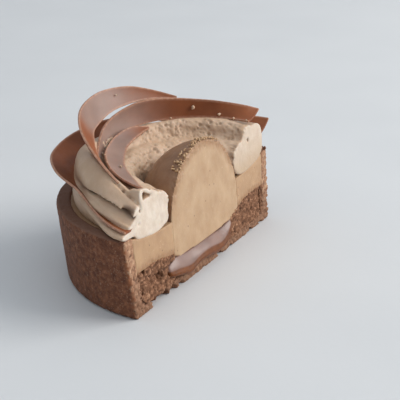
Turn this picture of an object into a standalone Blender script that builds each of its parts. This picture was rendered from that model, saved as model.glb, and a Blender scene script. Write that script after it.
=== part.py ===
"""Half of a chocolate tartlet, cut through the middle and standing on its base.

A tall chocolate shell holds a sponge base, a pool of caramel, a pale coffee filling and a
moulded dome. A ring of piped cream lies on the rim, dressed with five thin chocolate curls.
Metres, +Z up. The knife's face looks along -Y, and the origin is on the table under the half.
"""

import math

import bmesh
import bpy
from mathutils import Matrix, Vector, noise

MM = 0.001

# Driving sizes of the shell
SHELL_RADIUS = 37.5 * MM
FOOT_RADIUS = 35.8 * MM
SHELL_HEIGHT = 20.0 * MM
WALL = 3.6 * MM
FLOOR = 2.4 * MM
RIM_ROUND = 0.7 * MM
FOOT_ROUND = 1.1 * MM
TURN_STEPS = 72

# The tart's axis lies behind the origin, so that the origin is under the half's middle
AXIS_Y = -16.0 * MM
GAP = 0.3 * MM

# The knife's plane leans back a little and passes the axis half way up the shell
KNIFE_LEAN = math.radians(4.1)
KNIFE_HEIGHT = 10.0 * MM
KNIFE_SPAN = 120 * MM
KNIFE_DEPTH = 40 * MM

# Layers inside the shell
SPONGE_TOP = 7.3 * MM
SPONGE_RISE = 3.5 * MM
SPONGE_DIP = (5 * MM, 27 * MM)
POOL_X = -3.3 * MM
POOL_RADIUS = 16.5 * MM
POOL_DEPTH = 15.0 * MM
POOL_BULGE = 1.5 * MM
FILLING_TOP = 17.3 * MM
FILLING_RISE = 2.3 * MM
DOME_RADIUS = 17.2 * MM
DOME_HEIGHT = 32.9 * MM
DOME_X = 0.8 * MM
DOME_FLOOR = 9.9 * MM
DOME_FOOT = ((12.4 * MM, 8.8 * MM), (11.8 * MM, 7.15 * MM), (0.0, 7.15 * MM))

# The piped ring
CREAM_CORE = (25.8 * MM, 22.4 * MM)
CREAM_RAYS = 44
CREAM_STEP = 4.5
CURL_THICKNESS = 0.9 * MM
CURL_STEP = 4.5
CURL_ACROSS = 3
CURL_HOLLOW = 0.06


def clear_scene():
    """Starts from an empty scene with one collection for the tartlet and one for the cutters."""
    for obj in list(bpy.data.objects):
        bpy.data.objects.remove(obj, do_unlink=True)
    made = []
    for name in ("chocolate_tartlet", "cutters"):
        collection = bpy.data.collections.new(name)
        bpy.context.scene.collection.children.link(collection)
        made.append(collection)
    return made


def finish_of(name, colour, roughness):
    """A plain Principled material."""
    material = bpy.data.materials.new(name)
    material.use_nodes = True
    shader = material.node_tree.nodes["Principled BSDF"]
    shader.inputs["Base Color"].default_value = (*colour, 1.0)
    shader.inputs["Roughness"].default_value = roughness
    shader.inputs["Metallic"].default_value = 0.0
    return material


def add_object(name, mesh, collection, axis, material=None):
    """Links a mesh as an object in the frame of the tart's axis."""
    obj = bpy.data.objects.new(name, mesh)
    collection.objects.link(obj)
    obj.parent = axis
    if material:
        obj.data.materials.append(material)
    if collection.name == "cutters":
        obj.hide_render = True
        obj.display_type = "WIRE"
    return obj


def smooth_value(stations, at):
    """A value that runs smoothly through (place, value) stations."""
    if at <= stations[0][0]:
        return stations[0][1]
    if at >= stations[-1][0]:
        return stations[-1][1]
    last = len(stations) - 1
    i = max(k for k in range(last) if stations[k][0] <= at)

    def slope(k):
        low, high = max(k - 1, 0), min(k + 1, last)
        return (stations[high][1] - stations[low][1]) / (stations[high][0] - stations[low][0])

    (x0, y0), (x1, y1) = stations[i], stations[i + 1]
    span = x1 - x0
    t = (at - x0) / span
    blend = (2 * t**3 - 3 * t**2 + 1, t**3 - 2 * t**2 + t, 3 * t**2 - 2 * t**3, t**3 - t**2)
    return blend[0] * y0 + blend[1] * span * slope(i) + blend[2] * y1 + blend[3] * span * slope(i + 1)


def arc(centre, radius, start, end, steps):
    """Points of an arc in the radius and height plane, with angles in degrees."""
    points = []
    for k in range(steps + 1):
        angle = math.radians(start + (end - start) * k / steps)
        points.append((centre[0] + radius * math.cos(angle), centre[1] + radius * math.sin(angle)))
    return points


def turned(name, profile, collection, axis, material=None, closed=False, steps=TURN_STEPS):
    """A profile in radius and height, turned about the tart's axis."""
    mesh = bpy.data.meshes.new(name)
    edges = [(k, k + 1) for k in range(len(profile) - 1)]
    if closed:
        edges.append((len(profile) - 1, 0))
    mesh.from_pydata([(r, 0.0, z) for r, z in profile], edges, [])
    obj = add_object(name, mesh, collection, axis, material)
    screw = obj.modifiers.new("turn", "SCREW")
    screw.steps = steps
    screw.render_steps = steps
    screw.use_merge_vertices = True
    screw.merge_threshold = 1e-5
    screw.use_smooth_shade = True
    return obj


def cut(obj, cutter, solver="EXACT"):
    """Takes the cutter out of the object."""
    boolean = obj.modifiers.new("cut_" + cutter.name, "BOOLEAN")
    boolean.operation = "DIFFERENCE"
    boolean.solver = solver
    boolean.object = cutter
    return boolean


def knife(name, cutters, axis, roughness=0.0, cell=KNIFE_SPAN):
    """A block in front of the leaning cut, whose cutting face is crumbly where roughness is given."""
    mesh = bmesh.new()
    columns = max(1, round(KNIFE_SPAN / cell))
    bmesh.ops.create_grid(mesh, x_segments=columns, y_segments=columns, size=KNIFE_SPAN / 2)
    bmesh.ops.rotate(mesh, verts=mesh.verts, matrix=Matrix.Rotation(math.radians(90), 3, "X"))
    for vert in mesh.verts:
        place = Vector((vert.co.x, 0.0, vert.co.z)) / (2.2 * cell)
        vert.co.y = roughness * (noise.noise(place) + 0.6 * noise.noise(place * 2.3))
    face = mesh.faces[:]
    block = bmesh.ops.extrude_face_region(mesh, geom=face)
    moved = [v for v in block["geom"] if isinstance(v, bmesh.types.BMVert)]
    for vert in moved:
        vert.co.y = -KNIFE_DEPTH
    bmesh.ops.recalc_face_normals(mesh, faces=mesh.faces)
    data = bpy.data.meshes.new(name)
    mesh.to_mesh(data)
    mesh.free()
    obj = add_object(name, data, cutters, axis)
    obj.location = (0.0, 0.0, KNIFE_HEIGHT)
    obj.rotation_euler = (-KNIFE_LEAN, 0.0, 0.0)
    return obj


def shell_inner_radius(height):
    """The inside of the shell's wall, which leans out with the outside."""
    outer = FOOT_RADIUS + (SHELL_RADIUS - FOOT_RADIUS) * height / SHELL_HEIGHT
    return outer - WALL


def sponge_top(radius):
    """The sponge is pressed down in the middle and stands up against the wall."""
    start, end = SPONGE_DIP
    share = min(1.0, max(0.0, (radius - start) / (end - start)))
    return SPONGE_TOP + SPONGE_RISE * share**2 * (3 - 2 * share)


def filling_top(radius):
    """The filling's surface rises to the rim like a meniscus."""
    reach = max(0.0, radius - DOME_RADIUS) / DOME_RADIUS
    return FILLING_TOP + FILLING_RISE * reach**2


def make_crust(parts, cutters, axis, material):
    """The shell: floor, wall with a rounded rim, and a chipped lower edge at the cut."""
    top_inner = shell_inner_radius(SHELL_HEIGHT)
    profile = [(0.0, FLOOR), (shell_inner_radius(FLOOR) - 1.5 * MM, FLOOR)]
    profile += [(shell_inner_radius(FLOOR + 1.5 * MM), FLOOR + 1.5 * MM)]
    profile += [(top_inner, SHELL_HEIGHT - RIM_ROUND)]
    profile += arc((top_inner + RIM_ROUND, SHELL_HEIGHT - RIM_ROUND), RIM_ROUND, 150, 90, 2)
    profile += arc((SHELL_RADIUS - RIM_ROUND, SHELL_HEIGHT - RIM_ROUND), RIM_ROUND, 90, 0, 3)
    profile += arc((FOOT_RADIUS - FOOT_ROUND, FOOT_ROUND), FOOT_ROUND, 0, -90, 3)
    profile += [(0.0, 0.0)]
    crust = turned("crust", profile, parts, axis, material)
    cut(crust, knife("knife_crust", cutters, axis, roughness=0.45 * MM, cell=1.5 * MM))
    for x, z, size in ((-24.2, 0.0, 2.4), (-20.6, -0.6, 1.9), (6.0, -0.8, 1.7), (24.0, -0.7, 1.9)):
        chip = bmesh.new()
        bmesh.ops.create_icosphere(chip, subdivisions=1, radius=size * MM)
        data = bpy.data.meshes.new("chip")
        chip.to_mesh(data)
        chip.free()
        tool = add_object("chip", data, cutters, axis)
        tool.location = (x * MM, -0.9 * MM, z * MM)
        cut(crust, tool, solver="MANIFOLD")
    return crust


def make_sponge(parts, cutters, axis, material):
    """The ring of chocolate sponge round the caramel, with a crumbly face."""
    wall = shell_inner_radius(FLOOR + 1.5 * MM) - GAP
    low = FLOOR + GAP
    steps = 10
    reach = shell_inner_radius(sponge_top(wall)) - GAP
    outer = [(reach, sponge_top(reach)), (wall, low + 1.6 * MM), (wall - 1.9 * MM, low)]
    top = []
    for k in range(steps):
        radius = reach * k / steps
        top.append((radius, sponge_top(radius)))
    sponge = turned("sponge", top + outer + [(0.0, low)], parts, axis, material, steps=60)
    hole = turned(
        "sponge_hole",
        [(0.0, 30 * MM), (POOL_RADIUS + GAP, 30 * MM), (POOL_RADIUS + GAP, -5 * MM), (0.0, -5 * MM)],
        cutters,
        axis,
        steps=48,
    )
    hole.location.x = POOL_X
    cut(sponge, hole)
    cut(sponge, knife("knife_sponge", cutters, axis, roughness=1.1 * MM, cell=1.4 * MM))
    return sponge


def make_caramel(parts, axis, material):
    """A flat pool of caramel that swells out of the cut, with a wavy lower lip."""
    sections, around = 24, 14
    mesh = bmesh.new()
    rings = []
    for k in range(1, sections):
        share = -math.cos(math.pi * k / sections)
        swell = math.sqrt(1 - share**2)
        x = POOL_X + POOL_RADIUS * share
        top = 6.85 * MM + 2.6 * MM * max(0.0, -share - 0.5)
        bottom = 2.85 * MM + 2.6 * MM * share**6 + 0.35 * MM * (1 + math.cos(9 * share - 0.8))
        middle, half = (top + bottom) / 2, max((top - bottom) / 2, 0.4 * MM)
        front = -POOL_BULGE * swell * (1 + 0.25 * math.sin(7 * share)) - 0.4 * MM
        back = POOL_DEPTH * swell
        ring = []
        for n in range(around):
            turn = 2 * math.pi * n / around
            along, up = math.cos(turn), math.sin(turn)
            along = math.copysign(abs(along) ** 0.7, along)
            up = math.copysign(abs(up) ** 0.7, up)
            y = (front + back) / 2 - (back - front) / 2 * along
            ring.append(mesh.verts.new((x, y, middle + half * up)))
        rings.append(ring)
    for first, second in zip(rings, rings[1:]):
        for n in range(around):
            m = (n + 1) % around
            mesh.faces.new((first[n], first[m], second[m], second[n]))
    mesh.faces.new(rings[0][::-1])
    mesh.faces.new(rings[-1])
    bmesh.ops.recalc_face_normals(mesh, faces=mesh.faces)
    data = bpy.data.meshes.new("caramel")
    mesh.to_mesh(data)
    mesh.free()
    data.shade_smooth()
    return add_object("caramel", data, parts, axis, material)


def dome_profile(clearance):
    """The moulded dome: a round cap on a short straight foot."""
    centre = DOME_HEIGHT - DOME_RADIUS
    radius = DOME_RADIUS + clearance
    cap = arc((0.0, centre), radius, 90, 0, 13)
    cap[0] = (0.0, centre + radius)
    return cap + [(radius - 0.3 * MM, DOME_FLOOR - clearance)]


def make_dome(parts, cutters, axis, material):
    """The dome runs down to the sponge, with a narrower foot over the caramel."""
    dome = turned("dome", dome_profile(0.0) + list(DOME_FOOT), parts, axis, material)
    dome.location.x = DOME_X
    cut(dome, knife("knife_dome", cutters, axis))
    below = [(DOME_RADIUS, 5 * MM), (0.0, 5 * MM)]
    fat = turned("dome_clearance", dome_profile(GAP) + below, cutters, axis)
    fat.location.x = DOME_X
    return dome, fat


def make_filling(parts, cutters, axis, material, dome_clearance):
    """The poured filling between the dome and the wall."""
    outer_top = shell_inner_radius(SHELL_HEIGHT - RIM_ROUND) - GAP
    reach = shell_inner_radius(11 * MM) - GAP
    steps = 6
    inner = 14 * MM
    top = []
    bottom = []
    for k in range(steps + 1):
        radius = inner + (outer_top - inner) * k / steps
        top.append((radius, filling_top(radius)))
        radius = reach + (inner - reach) * k / steps
        bottom.append((radius, sponge_top(radius) + GAP))
    filling = turned("filling", top + bottom, parts, axis, material, closed=True)
    cut(filling, dome_clearance)
    cut(filling, knife("knife_filling", cutters, axis, roughness=0.12 * MM, cell=4 * MM))
    return filling


# Each ribbon of cream is an ellipse in the ring's section: its middle and half sizes at
# stations along the ring, as (degrees, radius, height, half width, half height), in mm.
RIBBONS = {
    "bed": (
        (0, 26.0, 21.2, 8.6, 4.4),
        (90, 25.6, 21.4, 8.2, 4.6),
        (150, 25.4, 21.2, 7.8, 4.4),
        (180, 24.8, 20.8, 8.2, 3.8),
    ),
    "inner": (
        (0, 23.6, 21.6, 6.2, 4.5),
        (60, 22.8, 22.4, 5.6, 4.7),
        (120, 22.6, 23.0, 5.2, 4.6),
        (180, 21.4, 22.6, 5.8, 4.4),
    ),
    "foot": (
        (0, 30.8, 22.6, 4.6, 3.0),
        (90, 29.4, 22.4, 4.6, 2.8),
        (145, 28.9, 22.3, 4.3, 2.4),
        (160, 29.6, 21.5, 4.7, 1.8),
        (172, 31.2, 21.0, 5.6, 1.4),
        (180, 31.8, 20.9, 6.0, 1.3),
    ),
    "middle": (
        (0, 30.2, 24.4, 5.2, 3.0),
        (110, 29.2, 26.0, 4.4, 2.5),
        (150, 29.2, 25.6, 4.5, 2.3),
        (165, 29.4, 23.8, 4.6, 2.2),
        (172, 29.8, 22.8, 4.6, 2.0),
        (180, 30.2, 22.0, 4.8, 1.8),
    ),
    "crown": (
        (0, 30.4, 25.6, 4.9, 3.3),
        (50, 29.3, 26.4, 4.6, 3.5),
        (95, 28.4, 27.3, 4.0, 3.6),
        (125, 28.9, 29.1, 3.7, 3.7),
        (141, 29.5, 30.1, 3.3, 3.5),
        (152, 29.6, 29.3, 3.4, 2.9),
        (161, 29.6, 27.6, 3.5, 2.5),
        (172, 29.4, 25.0, 3.8, 2.0),
        (180, 29.0, 23.2, 4.2, 2.0),
    ),
}


def ribbon_reach(ribbon, angle, direction):
    """How far a ray from the ring's core runs before it leaves the ribbon."""
    stations = RIBBONS[ribbon]
    r, z, half_r, half_z = (
        smooth_value([(row[0], row[n] * MM) for row in stations], angle) for n in range(1, 5)
    )
    dx, dz = (CREAM_CORE[0] - r) / half_r, (CREAM_CORE[1] - z) / half_z
    ux, uz = direction[0] / half_r, direction[1] / half_z
    a, b, c = ux * ux + uz * uz, dx * ux + dz * uz, dx * dx + dz * dz - 1
    inside = b * b - a * c
    return 0.0 if inside < 0 else (-b + math.sqrt(inside)) / a


def cream_floor(radius):
    """The cream lies on the filling and, further out, on the rim."""
    rim = shell_inner_radius(SHELL_HEIGHT) - GAP
    step = min(1.0, max(0.0, (radius - rim + 1.0 * MM) / (1.0 * MM)))
    return filling_top(radius) * (1 - step) + SHELL_HEIGHT * step + GAP


def cream_outline(angle, rays=CREAM_RAYS):
    """The section of the ring: along each ray, the farthest ribbon."""
    points = []
    for n in range(rays):
        turn = 2 * math.pi * n / rays
        direction = (math.cos(turn), math.sin(turn))
        reach = max(ribbon_reach(ribbon, angle, direction) for ribbon in RIBBONS)
        r = CREAM_CORE[0] + reach * direction[0]
        z = CREAM_CORE[1] + reach * direction[1]
        points.append((r, max(z, cream_floor(r))))
    return points


def make_cream(parts, cutters, axis, material, dome_clearance, slots):
    """The piped ring, lofted between its sections and cut by the knife, the dome and the curls."""
    mesh = bmesh.new()
    rings = []
    start, end = -8.0, 188.0
    count = round((end - start) / CREAM_STEP)
    for k in range(count + 1):
        angle = start + (end - start) * k / count
        turn = math.radians(angle)
        ring = []
        for r, z in cream_outline(min(180.0, max(0.0, angle))):
            ring.append(mesh.verts.new((r * math.cos(turn), r * math.sin(turn), z)))
        rings.append(ring)
    for first, second in zip(rings, rings[1:]):
        for n in range(CREAM_RAYS):
            m = (n + 1) % CREAM_RAYS
            mesh.faces.new((first[n], first[m], second[m], second[n]))
    mesh.faces.new(rings[0][::-1])
    mesh.faces.new(rings[-1])
    bmesh.ops.recalc_face_normals(mesh, faces=mesh.faces)
    data = bpy.data.meshes.new("cream")
    mesh.to_mesh(data)
    mesh.free()
    cream = add_object("cream", data, parts, axis, material)
    cut(cream, dome_clearance)
    for slot in slots:
        cut(cream, slot, solver="MANIFOLD")
    cut(cream, knife("knife_cream", cutters, axis))
    keep_largest_body(cream)
    return cream


def keep_largest_body(obj):
    """Applies the object's modifiers and drops the loose scraps that the cuts leave."""
    graph = bpy.context.evaluated_depsgraph_get()
    data = bpy.data.meshes.new_from_object(obj.evaluated_get(graph))
    obj.modifiers.clear()
    obj.data = data
    mesh = bmesh.new()
    mesh.from_mesh(data)
    waiting = set(mesh.faces)
    bodies = []
    while waiting:
        body = {waiting.pop()}
        edge_of_body = list(body)
        while edge_of_body:
            face = edge_of_body.pop()
            for edge in face.edges:
                for other in edge.link_faces:
                    if other in waiting:
                        waiting.remove(other)
                        body.add(other)
                        edge_of_body.append(other)
        bodies.append(body)
    largest = max(bodies, key=len)
    scraps = [face for face in mesh.faces if face not in largest]
    bmesh.ops.delete(mesh, geom=scraps, context="FACES")
    mesh.to_mesh(data)
    mesh.free()


# Each curl is a thin band of chocolate laid round the ring between two edges, both given at
# stations along the ring as (degrees, radius, height), in mm. Tips are where the edges meet.
CURLS = {
    "curl_tall": {
        "outer": (
            (43, 30.6, 36.6),
            (56, 30.5, 39.2),
            (70, 30.5, 41.4),
            (87, 31.0, 42.1),
            (99, 31.0, 41.8),
            (124, 30.8, 40.5),
            (142, 30.9, 38.1),
            (154, 30.0, 34.1),
            (164.5, 29.0, 30.2),
        ),
        "inner": (
            (43, 30.4, 35.9),
            (60, 29.3, 37.0),
            (84, 28.3, 36.9),
            (103, 28.0, 35.6),
            (125, 27.4, 35.4),
            (142, 27.6, 32.7),
            (155, 27.5, 30.6),
            (164.5, 28.1, 29.3),
        ),
    },
    "curl_outer_left": {
        "outer": (
            (64, 34.6, 31.2),
            (75, 35.8, 31.9),
            (90, 37.3, 31.3),
            (111, 38.1, 30.7),
            (126, 38.2, 30.6),
            (136, 37.3, 29.3),
            (148, 34.9, 27.4),
            (157, 34.3, 24.6),
            (167, 35.3, 23.0),
            (176, 36.4, 22.2),
            (185, 37.0, 21.9),
        ),
        "inner": (
            (64, 34.2, 30.7),
            (75, 33.3, 28.4),
            (90, 32.0, 26.9),
            (120, 31.6, 26.3),
            (145, 31.0, 24.6),
            (157, 31.4, 22.9),
            (167, 31.9, 22.2),
            (185, 33.2, 22.0),
        ),
    },
    "curl_long": {
        "outer": (
            (-6, 35.6, 31.7),
            (2, 34.4, 32.2),
            (8, 32.2, 33.5),
            (20, 30.0, 35.0),
            (43, 29.0, 36.1),
            (72, 28.3, 36.3),
            (88, 28.1, 35.4),
            (98, 27.9, 33.9),
            (107, 27.4, 32.1),
            (117, 26.9, 31.1),
            (131, 26.7, 30.5),
            (147, 27.0, 29.5),
            (163, 27.6, 28.0),
            (171, 27.8, 27.0),
        ),
        "inner": (
            (-6, 26.6, 30.5),
            (5, 27.4, 30.5),
            (25, 28.0, 30.7),
            (58, 28.0, 31.0),
            (82, 27.6, 30.7),
            (98, 26.9, 29.8),
            (110, 26.1, 29.3),
            (131, 25.6, 28.7),
            (147, 25.5, 28.2),
            (163, 25.3, 27.2),
            (171, 25.3, 26.6),
        ),
    },
    "curl_inner": {
        "outer": (
            (66, 24.8, 31.2),
            (78, 25.6, 31.9),
            (91, 25.8, 31.3),
            (108, 25.2, 30.6),
            (125, 24.9, 30.7),
            (145, 25.0, 29.6),
            (158, 24.9, 28.9),
            (173, 24.8, 28.2),
        ),
        "inner": (
            (66, 24.3, 30.6),
            (80, 22.5, 30.1),
            (95, 21.5, 29.4),
            (114, 20.3, 28.4),
            (133, 20.2, 28.2),
            (151, 20.2, 27.1),
            (158, 21.0, 27.2),
            (166, 22.6, 27.5),
            (173, 24.1, 27.8),
        ),
    },
    "curl_outer_right": {
        "outer": ((-6, 40.1, 27.9), (8, 39.8, 28.3), (25, 38.2, 29.3), (42, 36.6, 29.9), (58, 35.2, 30.4)),
        "inner": ((-6, 32.9, 24.6), (8, 33.0, 25.2), (25, 32.8, 26.6), (42, 33.4, 28.4), (58, 34.8, 29.9)),
    },
}


def edge_point(stations, angle):
    """The radius and height, in metres, of one edge of a curl."""
    return tuple(smooth_value([(row[0], row[n] * MM) for row in stations], angle) for n in (1, 2))


def curl_surface(name, grow=0.0):
    """The open surface of one curl, grown along its edges by the given margin."""
    outer, inner = CURLS[name]["outer"], CURLS[name]["inner"]
    start, end = outer[0][0], outer[-1][0]
    count = max(4, round((end - start) / CURL_STEP))
    over = math.degrees(grow / outer[0][1] / MM)
    mesh = bmesh.new()
    rows = []
    for k in range(count + 1):
        angle = start - over + (end - start + 2 * over) * k / count
        high, low = Vector(edge_point(outer, angle)), Vector(edge_point(inner, angle))
        across = (high - low).normalized()
        high, low = high + across * grow, low - across * grow
        hollow = CURL_HOLLOW * (high - low).length * Vector((across.y, -across.x))
        turn = math.radians(angle)
        row = []
        for n in range(CURL_ACROSS + 1):
            share = n / CURL_ACROSS
            place = low.lerp(high, share) + hollow * 4 * share * (1 - share)
            row.append(mesh.verts.new((place.x * math.cos(turn), place.x * math.sin(turn), place.y)))
        rows.append(row)
    for first, second in zip(rows, rows[1:]):
        for n in range(CURL_ACROSS):
            mesh.faces.new((first[n], first[n + 1], second[n + 1], second[n]))
    data = bpy.data.meshes.new(name)
    mesh.to_mesh(data)
    mesh.free()
    return data


def thicken(obj, thickness):
    """Gives the open surface its thickness, half on each side."""
    solidify = obj.modifiers.new("thickness", "SOLIDIFY")
    solidify.thickness = thickness
    solidify.offset = 0.0
    solidify.use_even_offset = True


def make_curls(parts, cutters, axis, material):
    """The curls, and the fatter copies of them that cut their slots in the cream."""
    slots = []
    blade = knife("knife_curls", cutters, axis)
    for name in CURLS:
        curl = add_object(name, curl_surface(name), parts, axis, material)
        thicken(curl, CURL_THICKNESS)
        cut(curl, blade)
        slot = add_object("slot_" + name, curl_surface(name, grow=GAP), cutters, axis)
        thicken(slot, CURL_THICKNESS + 2 * GAP)
        slots.append(slot)
    return slots


def main():
    parts, cutters = clear_scene()
    axis = bpy.data.objects.new("tart_axis", None)
    parts.objects.link(axis)
    axis.location = (0.0, AXIS_Y, 0.0)
    shortcrust = finish_of("chocolate_shortcrust", (0.115, 0.050, 0.030), 0.75)
    crumb = finish_of("chocolate_sponge", (0.130, 0.062, 0.038), 0.90)
    syrup = finish_of("caramel", (0.300, 0.130, 0.060), 0.12)
    coffee = finish_of("coffee_filling", (0.560, 0.370, 0.220), 0.50)
    whipped = finish_of("whipped_cream", (0.640, 0.480, 0.350), 0.55)
    tempered = finish_of("milk_chocolate", (0.200, 0.075, 0.040), 0.30)
    make_crust(parts, cutters, axis, shortcrust)
    make_sponge(parts, cutters, axis, crumb)
    make_caramel(parts, axis, syrup)
    _, dome_clearance = make_dome(parts, cutters, axis, coffee)
    make_filling(parts, cutters, axis, coffee, dome_clearance)
    slots = make_curls(parts, cutters, axis, tempered)
    bpy.context.view_layer.update()
    make_cream(parts, cutters, axis, whipped, dome_clearance, slots)


main()
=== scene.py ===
# %% [markdown]
# # Half a chocolate tartlet
# A small round tart has been cut upright through the middle, so that its layers show: a dark
# chocolate shell, a crumb of sponge, a pool of glossy caramel, a coffee coloured filling and a
# moulded dome. Piped cream lies round the rim, dressed with thin chocolate curls.
# The solid model of the tartlet is loaded first. It fixes where everything is, and each piece
# made below is put exactly where its solid stands.

# %% The frame that every piece is fitted to
import math

import bmesh
import bpy
import numpy as np
from mathutils import Matrix, Vector, noise


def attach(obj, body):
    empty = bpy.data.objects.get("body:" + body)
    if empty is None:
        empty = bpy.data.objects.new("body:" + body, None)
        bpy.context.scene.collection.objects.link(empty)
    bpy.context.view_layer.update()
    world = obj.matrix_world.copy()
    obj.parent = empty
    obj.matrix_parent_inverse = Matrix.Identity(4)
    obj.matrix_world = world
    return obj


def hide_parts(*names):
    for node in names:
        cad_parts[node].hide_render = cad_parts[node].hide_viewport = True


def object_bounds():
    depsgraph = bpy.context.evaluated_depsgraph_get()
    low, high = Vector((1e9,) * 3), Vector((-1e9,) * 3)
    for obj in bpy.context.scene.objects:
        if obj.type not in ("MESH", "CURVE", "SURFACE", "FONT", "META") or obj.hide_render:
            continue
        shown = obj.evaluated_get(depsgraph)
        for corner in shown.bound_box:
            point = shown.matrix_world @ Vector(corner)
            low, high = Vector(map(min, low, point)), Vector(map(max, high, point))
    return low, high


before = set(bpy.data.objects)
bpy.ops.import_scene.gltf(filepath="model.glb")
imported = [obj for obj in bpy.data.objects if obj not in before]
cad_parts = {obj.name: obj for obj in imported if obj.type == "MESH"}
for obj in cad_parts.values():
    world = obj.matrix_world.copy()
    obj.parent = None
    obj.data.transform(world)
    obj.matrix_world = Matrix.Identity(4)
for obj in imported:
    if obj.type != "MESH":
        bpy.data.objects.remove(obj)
CAD_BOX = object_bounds()
print("solids:", ", ".join(sorted(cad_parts)))

# %% [markdown]
# ## Sizes
# All sizes are in millimetres and measured from the tart's own axis, which stands at the middle
# of the knife cut. Angles run along the ring: 0 degrees is the right end of the cut, 90 the back
# and 180 the left end. Working in the tart's own frame keeps the numbers as small and as easy to
# check as those on a recipe card. One function turns them into the metres that Blender uses.

# %% The tart's main sizes
MM = 0.001
AXIS_Y = -16.0
SHELL_RADIUS, FOOT_RADIUS, SHELL_HEIGHT = 37.5, 35.8, 20.0
WALL, FLOOR = 3.6, 2.4
DOME_RADIUS, DOME_HEIGHT, DOME_X = 17.2, 32.9, 0.8
FILLING_TOP, FILLING_RISE = 17.3, 2.3
KNIFE_SLOPE, KNIFE_HEIGHT = math.tan(math.radians(4.1)), 10.0
KNIFE_NORMAL = np.array((0.0, -1.0, KNIFE_SLOPE)) / math.hypot(1.0, KNIFE_SLOPE)


def knife_y(height):
    """The knife leans back a little, and passes the axis half way up the shell."""
    return KNIFE_SLOPE * (height - KNIFE_HEIGHT)


def in_metres(points):
    """Points from the tart's axis, in millimetres, as metres in the frame."""
    return (np.asarray(points, float) + (0.0, AXIS_Y, 0.0)) * MM


low, high = CAD_BOX
print("the solids are", [round((b - a) / MM, 1) for a, b in zip(low, high)], "mm")

# %% [markdown]
# ## From points to a body
# Pastry and cream have no flat panels or true edges, so none of them is left as it is drawn.
# Each piece starts as a plain closed body, made by turning an outline round the axis or by
# joining rings of points. It is then cut, rebuilt from small even cells by a voxel remesh, and
# roughened point by point. The remesh melts overlapping bodies into one skin and gives the
# even net of points that fine relief needs.

# %% Making a closed body
def make_body(name, points, faces):
    """A mesh object from millimetre points, with its faces looking outwards."""
    mesh = bmesh.new()
    verts = [mesh.verts.new(p) for p in in_metres(points)]
    for face in faces:
        mesh.faces.new([verts[n] for n in face])
    bmesh.ops.remove_doubles(mesh, verts=mesh.verts, dist=1e-6)
    bmesh.ops.recalc_face_normals(mesh, faces=mesh.faces)
    data = bpy.data.meshes.new(name)
    mesh.to_mesh(data)
    mesh.free()
    obj = bpy.data.objects.new(name, data)
    bpy.context.scene.collection.objects.link(obj)
    return obj


def turned(name, outline, centre_x=0.0, steps=150):
    """A closed outline of (radius, height), turned about an upright line."""
    points, faces = [], []
    count = len(outline)
    for k in range(steps):
        turn = 2 * math.pi * k / steps
        for r, z in outline:
            points.append((centre_x + r * math.cos(turn), r * math.sin(turn), z))
        for n in range(count):
            here, there = k * count, (k + 1) % steps * count
            m = (n + 1) % count
            faces.append((here + n, here + m, there + m, there + n))
    return make_body(name, points, faces)


def lofted(name, rings):
    """A closed body through rings that hold the same number of points."""
    count = len(rings[0])
    faces = [tuple(range(count))[::-1]]
    for k in range(len(rings) - 1):
        for n in range(count):
            m = (n + 1) % count
            faces.append((k * count + n, k * count + m, (k + 1) * count + m, (k + 1) * count + n))
    faces.append(tuple(range((len(rings) - 1) * count, len(rings) * count)))
    return make_body(name, [p for ring in rings for p in ring], faces)


def ball(name, centre, size, turn=0.0):
    """An egg shaped tool or crumb, with its three half sizes."""
    mesh = bmesh.new()
    bmesh.ops.create_icosphere(mesh, subdivisions=3, radius=1.0)
    points = [Matrix.Rotation(turn, 3, "Y") @ Vector(np.array(v.co) * size) for v in mesh.verts]
    faces = [tuple(v.index for v in face.verts) for face in mesh.faces]
    mesh.free()
    return make_body(name, np.array(points) + centre, faces)


# %% Cutting, remeshing and applying
def cut(obj, tool, solver="MANIFOLD"):
    """Takes the tool's shape out of the piece."""
    step = obj.modifiers.new("cut", "BOOLEAN")
    step.operation = "DIFFERENCE"
    step.solver = solver
    step.object = tool


def remesh(obj, cell):
    """Rebuilds the piece from even cells of the given size."""
    step = obj.modifiers.new("remesh", "REMESH")
    step.mode = "VOXEL"
    step.voxel_size = cell * MM


def soften(obj, rounds):
    """Evens out small bumps and edges."""
    step = obj.modifiers.new("soften", "SMOOTH")
    step.iterations = rounds


def apply_steps(obj, *tools):
    """Makes the modifiers' result the mesh itself, and removes the tools."""
    graph = bpy.context.evaluated_depsgraph_get()
    made = bpy.data.meshes.new_from_object(obj.evaluated_get(graph))
    obj.modifiers.clear()
    obj.data = made
    made.shade_smooth()
    for tool in tools:
        bpy.data.objects.remove(tool)
    return obj


BLOCK_SIDE, BLOCK_LOW, BLOCK_HIGH, BLOCK_FRONT = 70.0, -30.0, 80.0, -60.0


def knife_block():
    """All that lies in front of the leaning cut."""
    section = [(knife_y(BLOCK_LOW), BLOCK_LOW), (knife_y(BLOCK_HIGH), BLOCK_HIGH)]
    section += [(BLOCK_FRONT, BLOCK_HIGH), (BLOCK_FRONT, BLOCK_LOW)]
    return lofted("knife", [[(x, y, z) for y, z in section] for x in (-BLOCK_SIDE, BLOCK_SIDE)])


# %% [markdown]
# ## Relief
# Crumb, pores and torn edges are all relief: each point moves along its own normal by an amount
# that depends on where it is. Three patterns do nearly all the work: soft grain gives waves,
# cobbles give rounded crumbs with creases between them, and pits give air holes. Masks keep
# each of them where it belongs, such as crumb on the knife's face. The same numbers are stored
# on the mesh, so that the material can paint shade into a crease exactly where the mesh has one.

# %% Points, normals and patterns
def places(obj):
    """The mesh's points, in millimetres from the tart's axis, and its normals."""
    mesh = obj.data
    spots = np.empty(len(mesh.vertices) * 3)
    mesh.vertices.foreach_get("co", spots)
    normals = np.empty(len(mesh.vertices) * 3)
    mesh.vertex_normals.foreach_get("vector", normals)
    return spots.reshape(-1, 3) / MM - (0.0, AXIS_Y, 0.0), normals.reshape(-1, 3)


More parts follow.
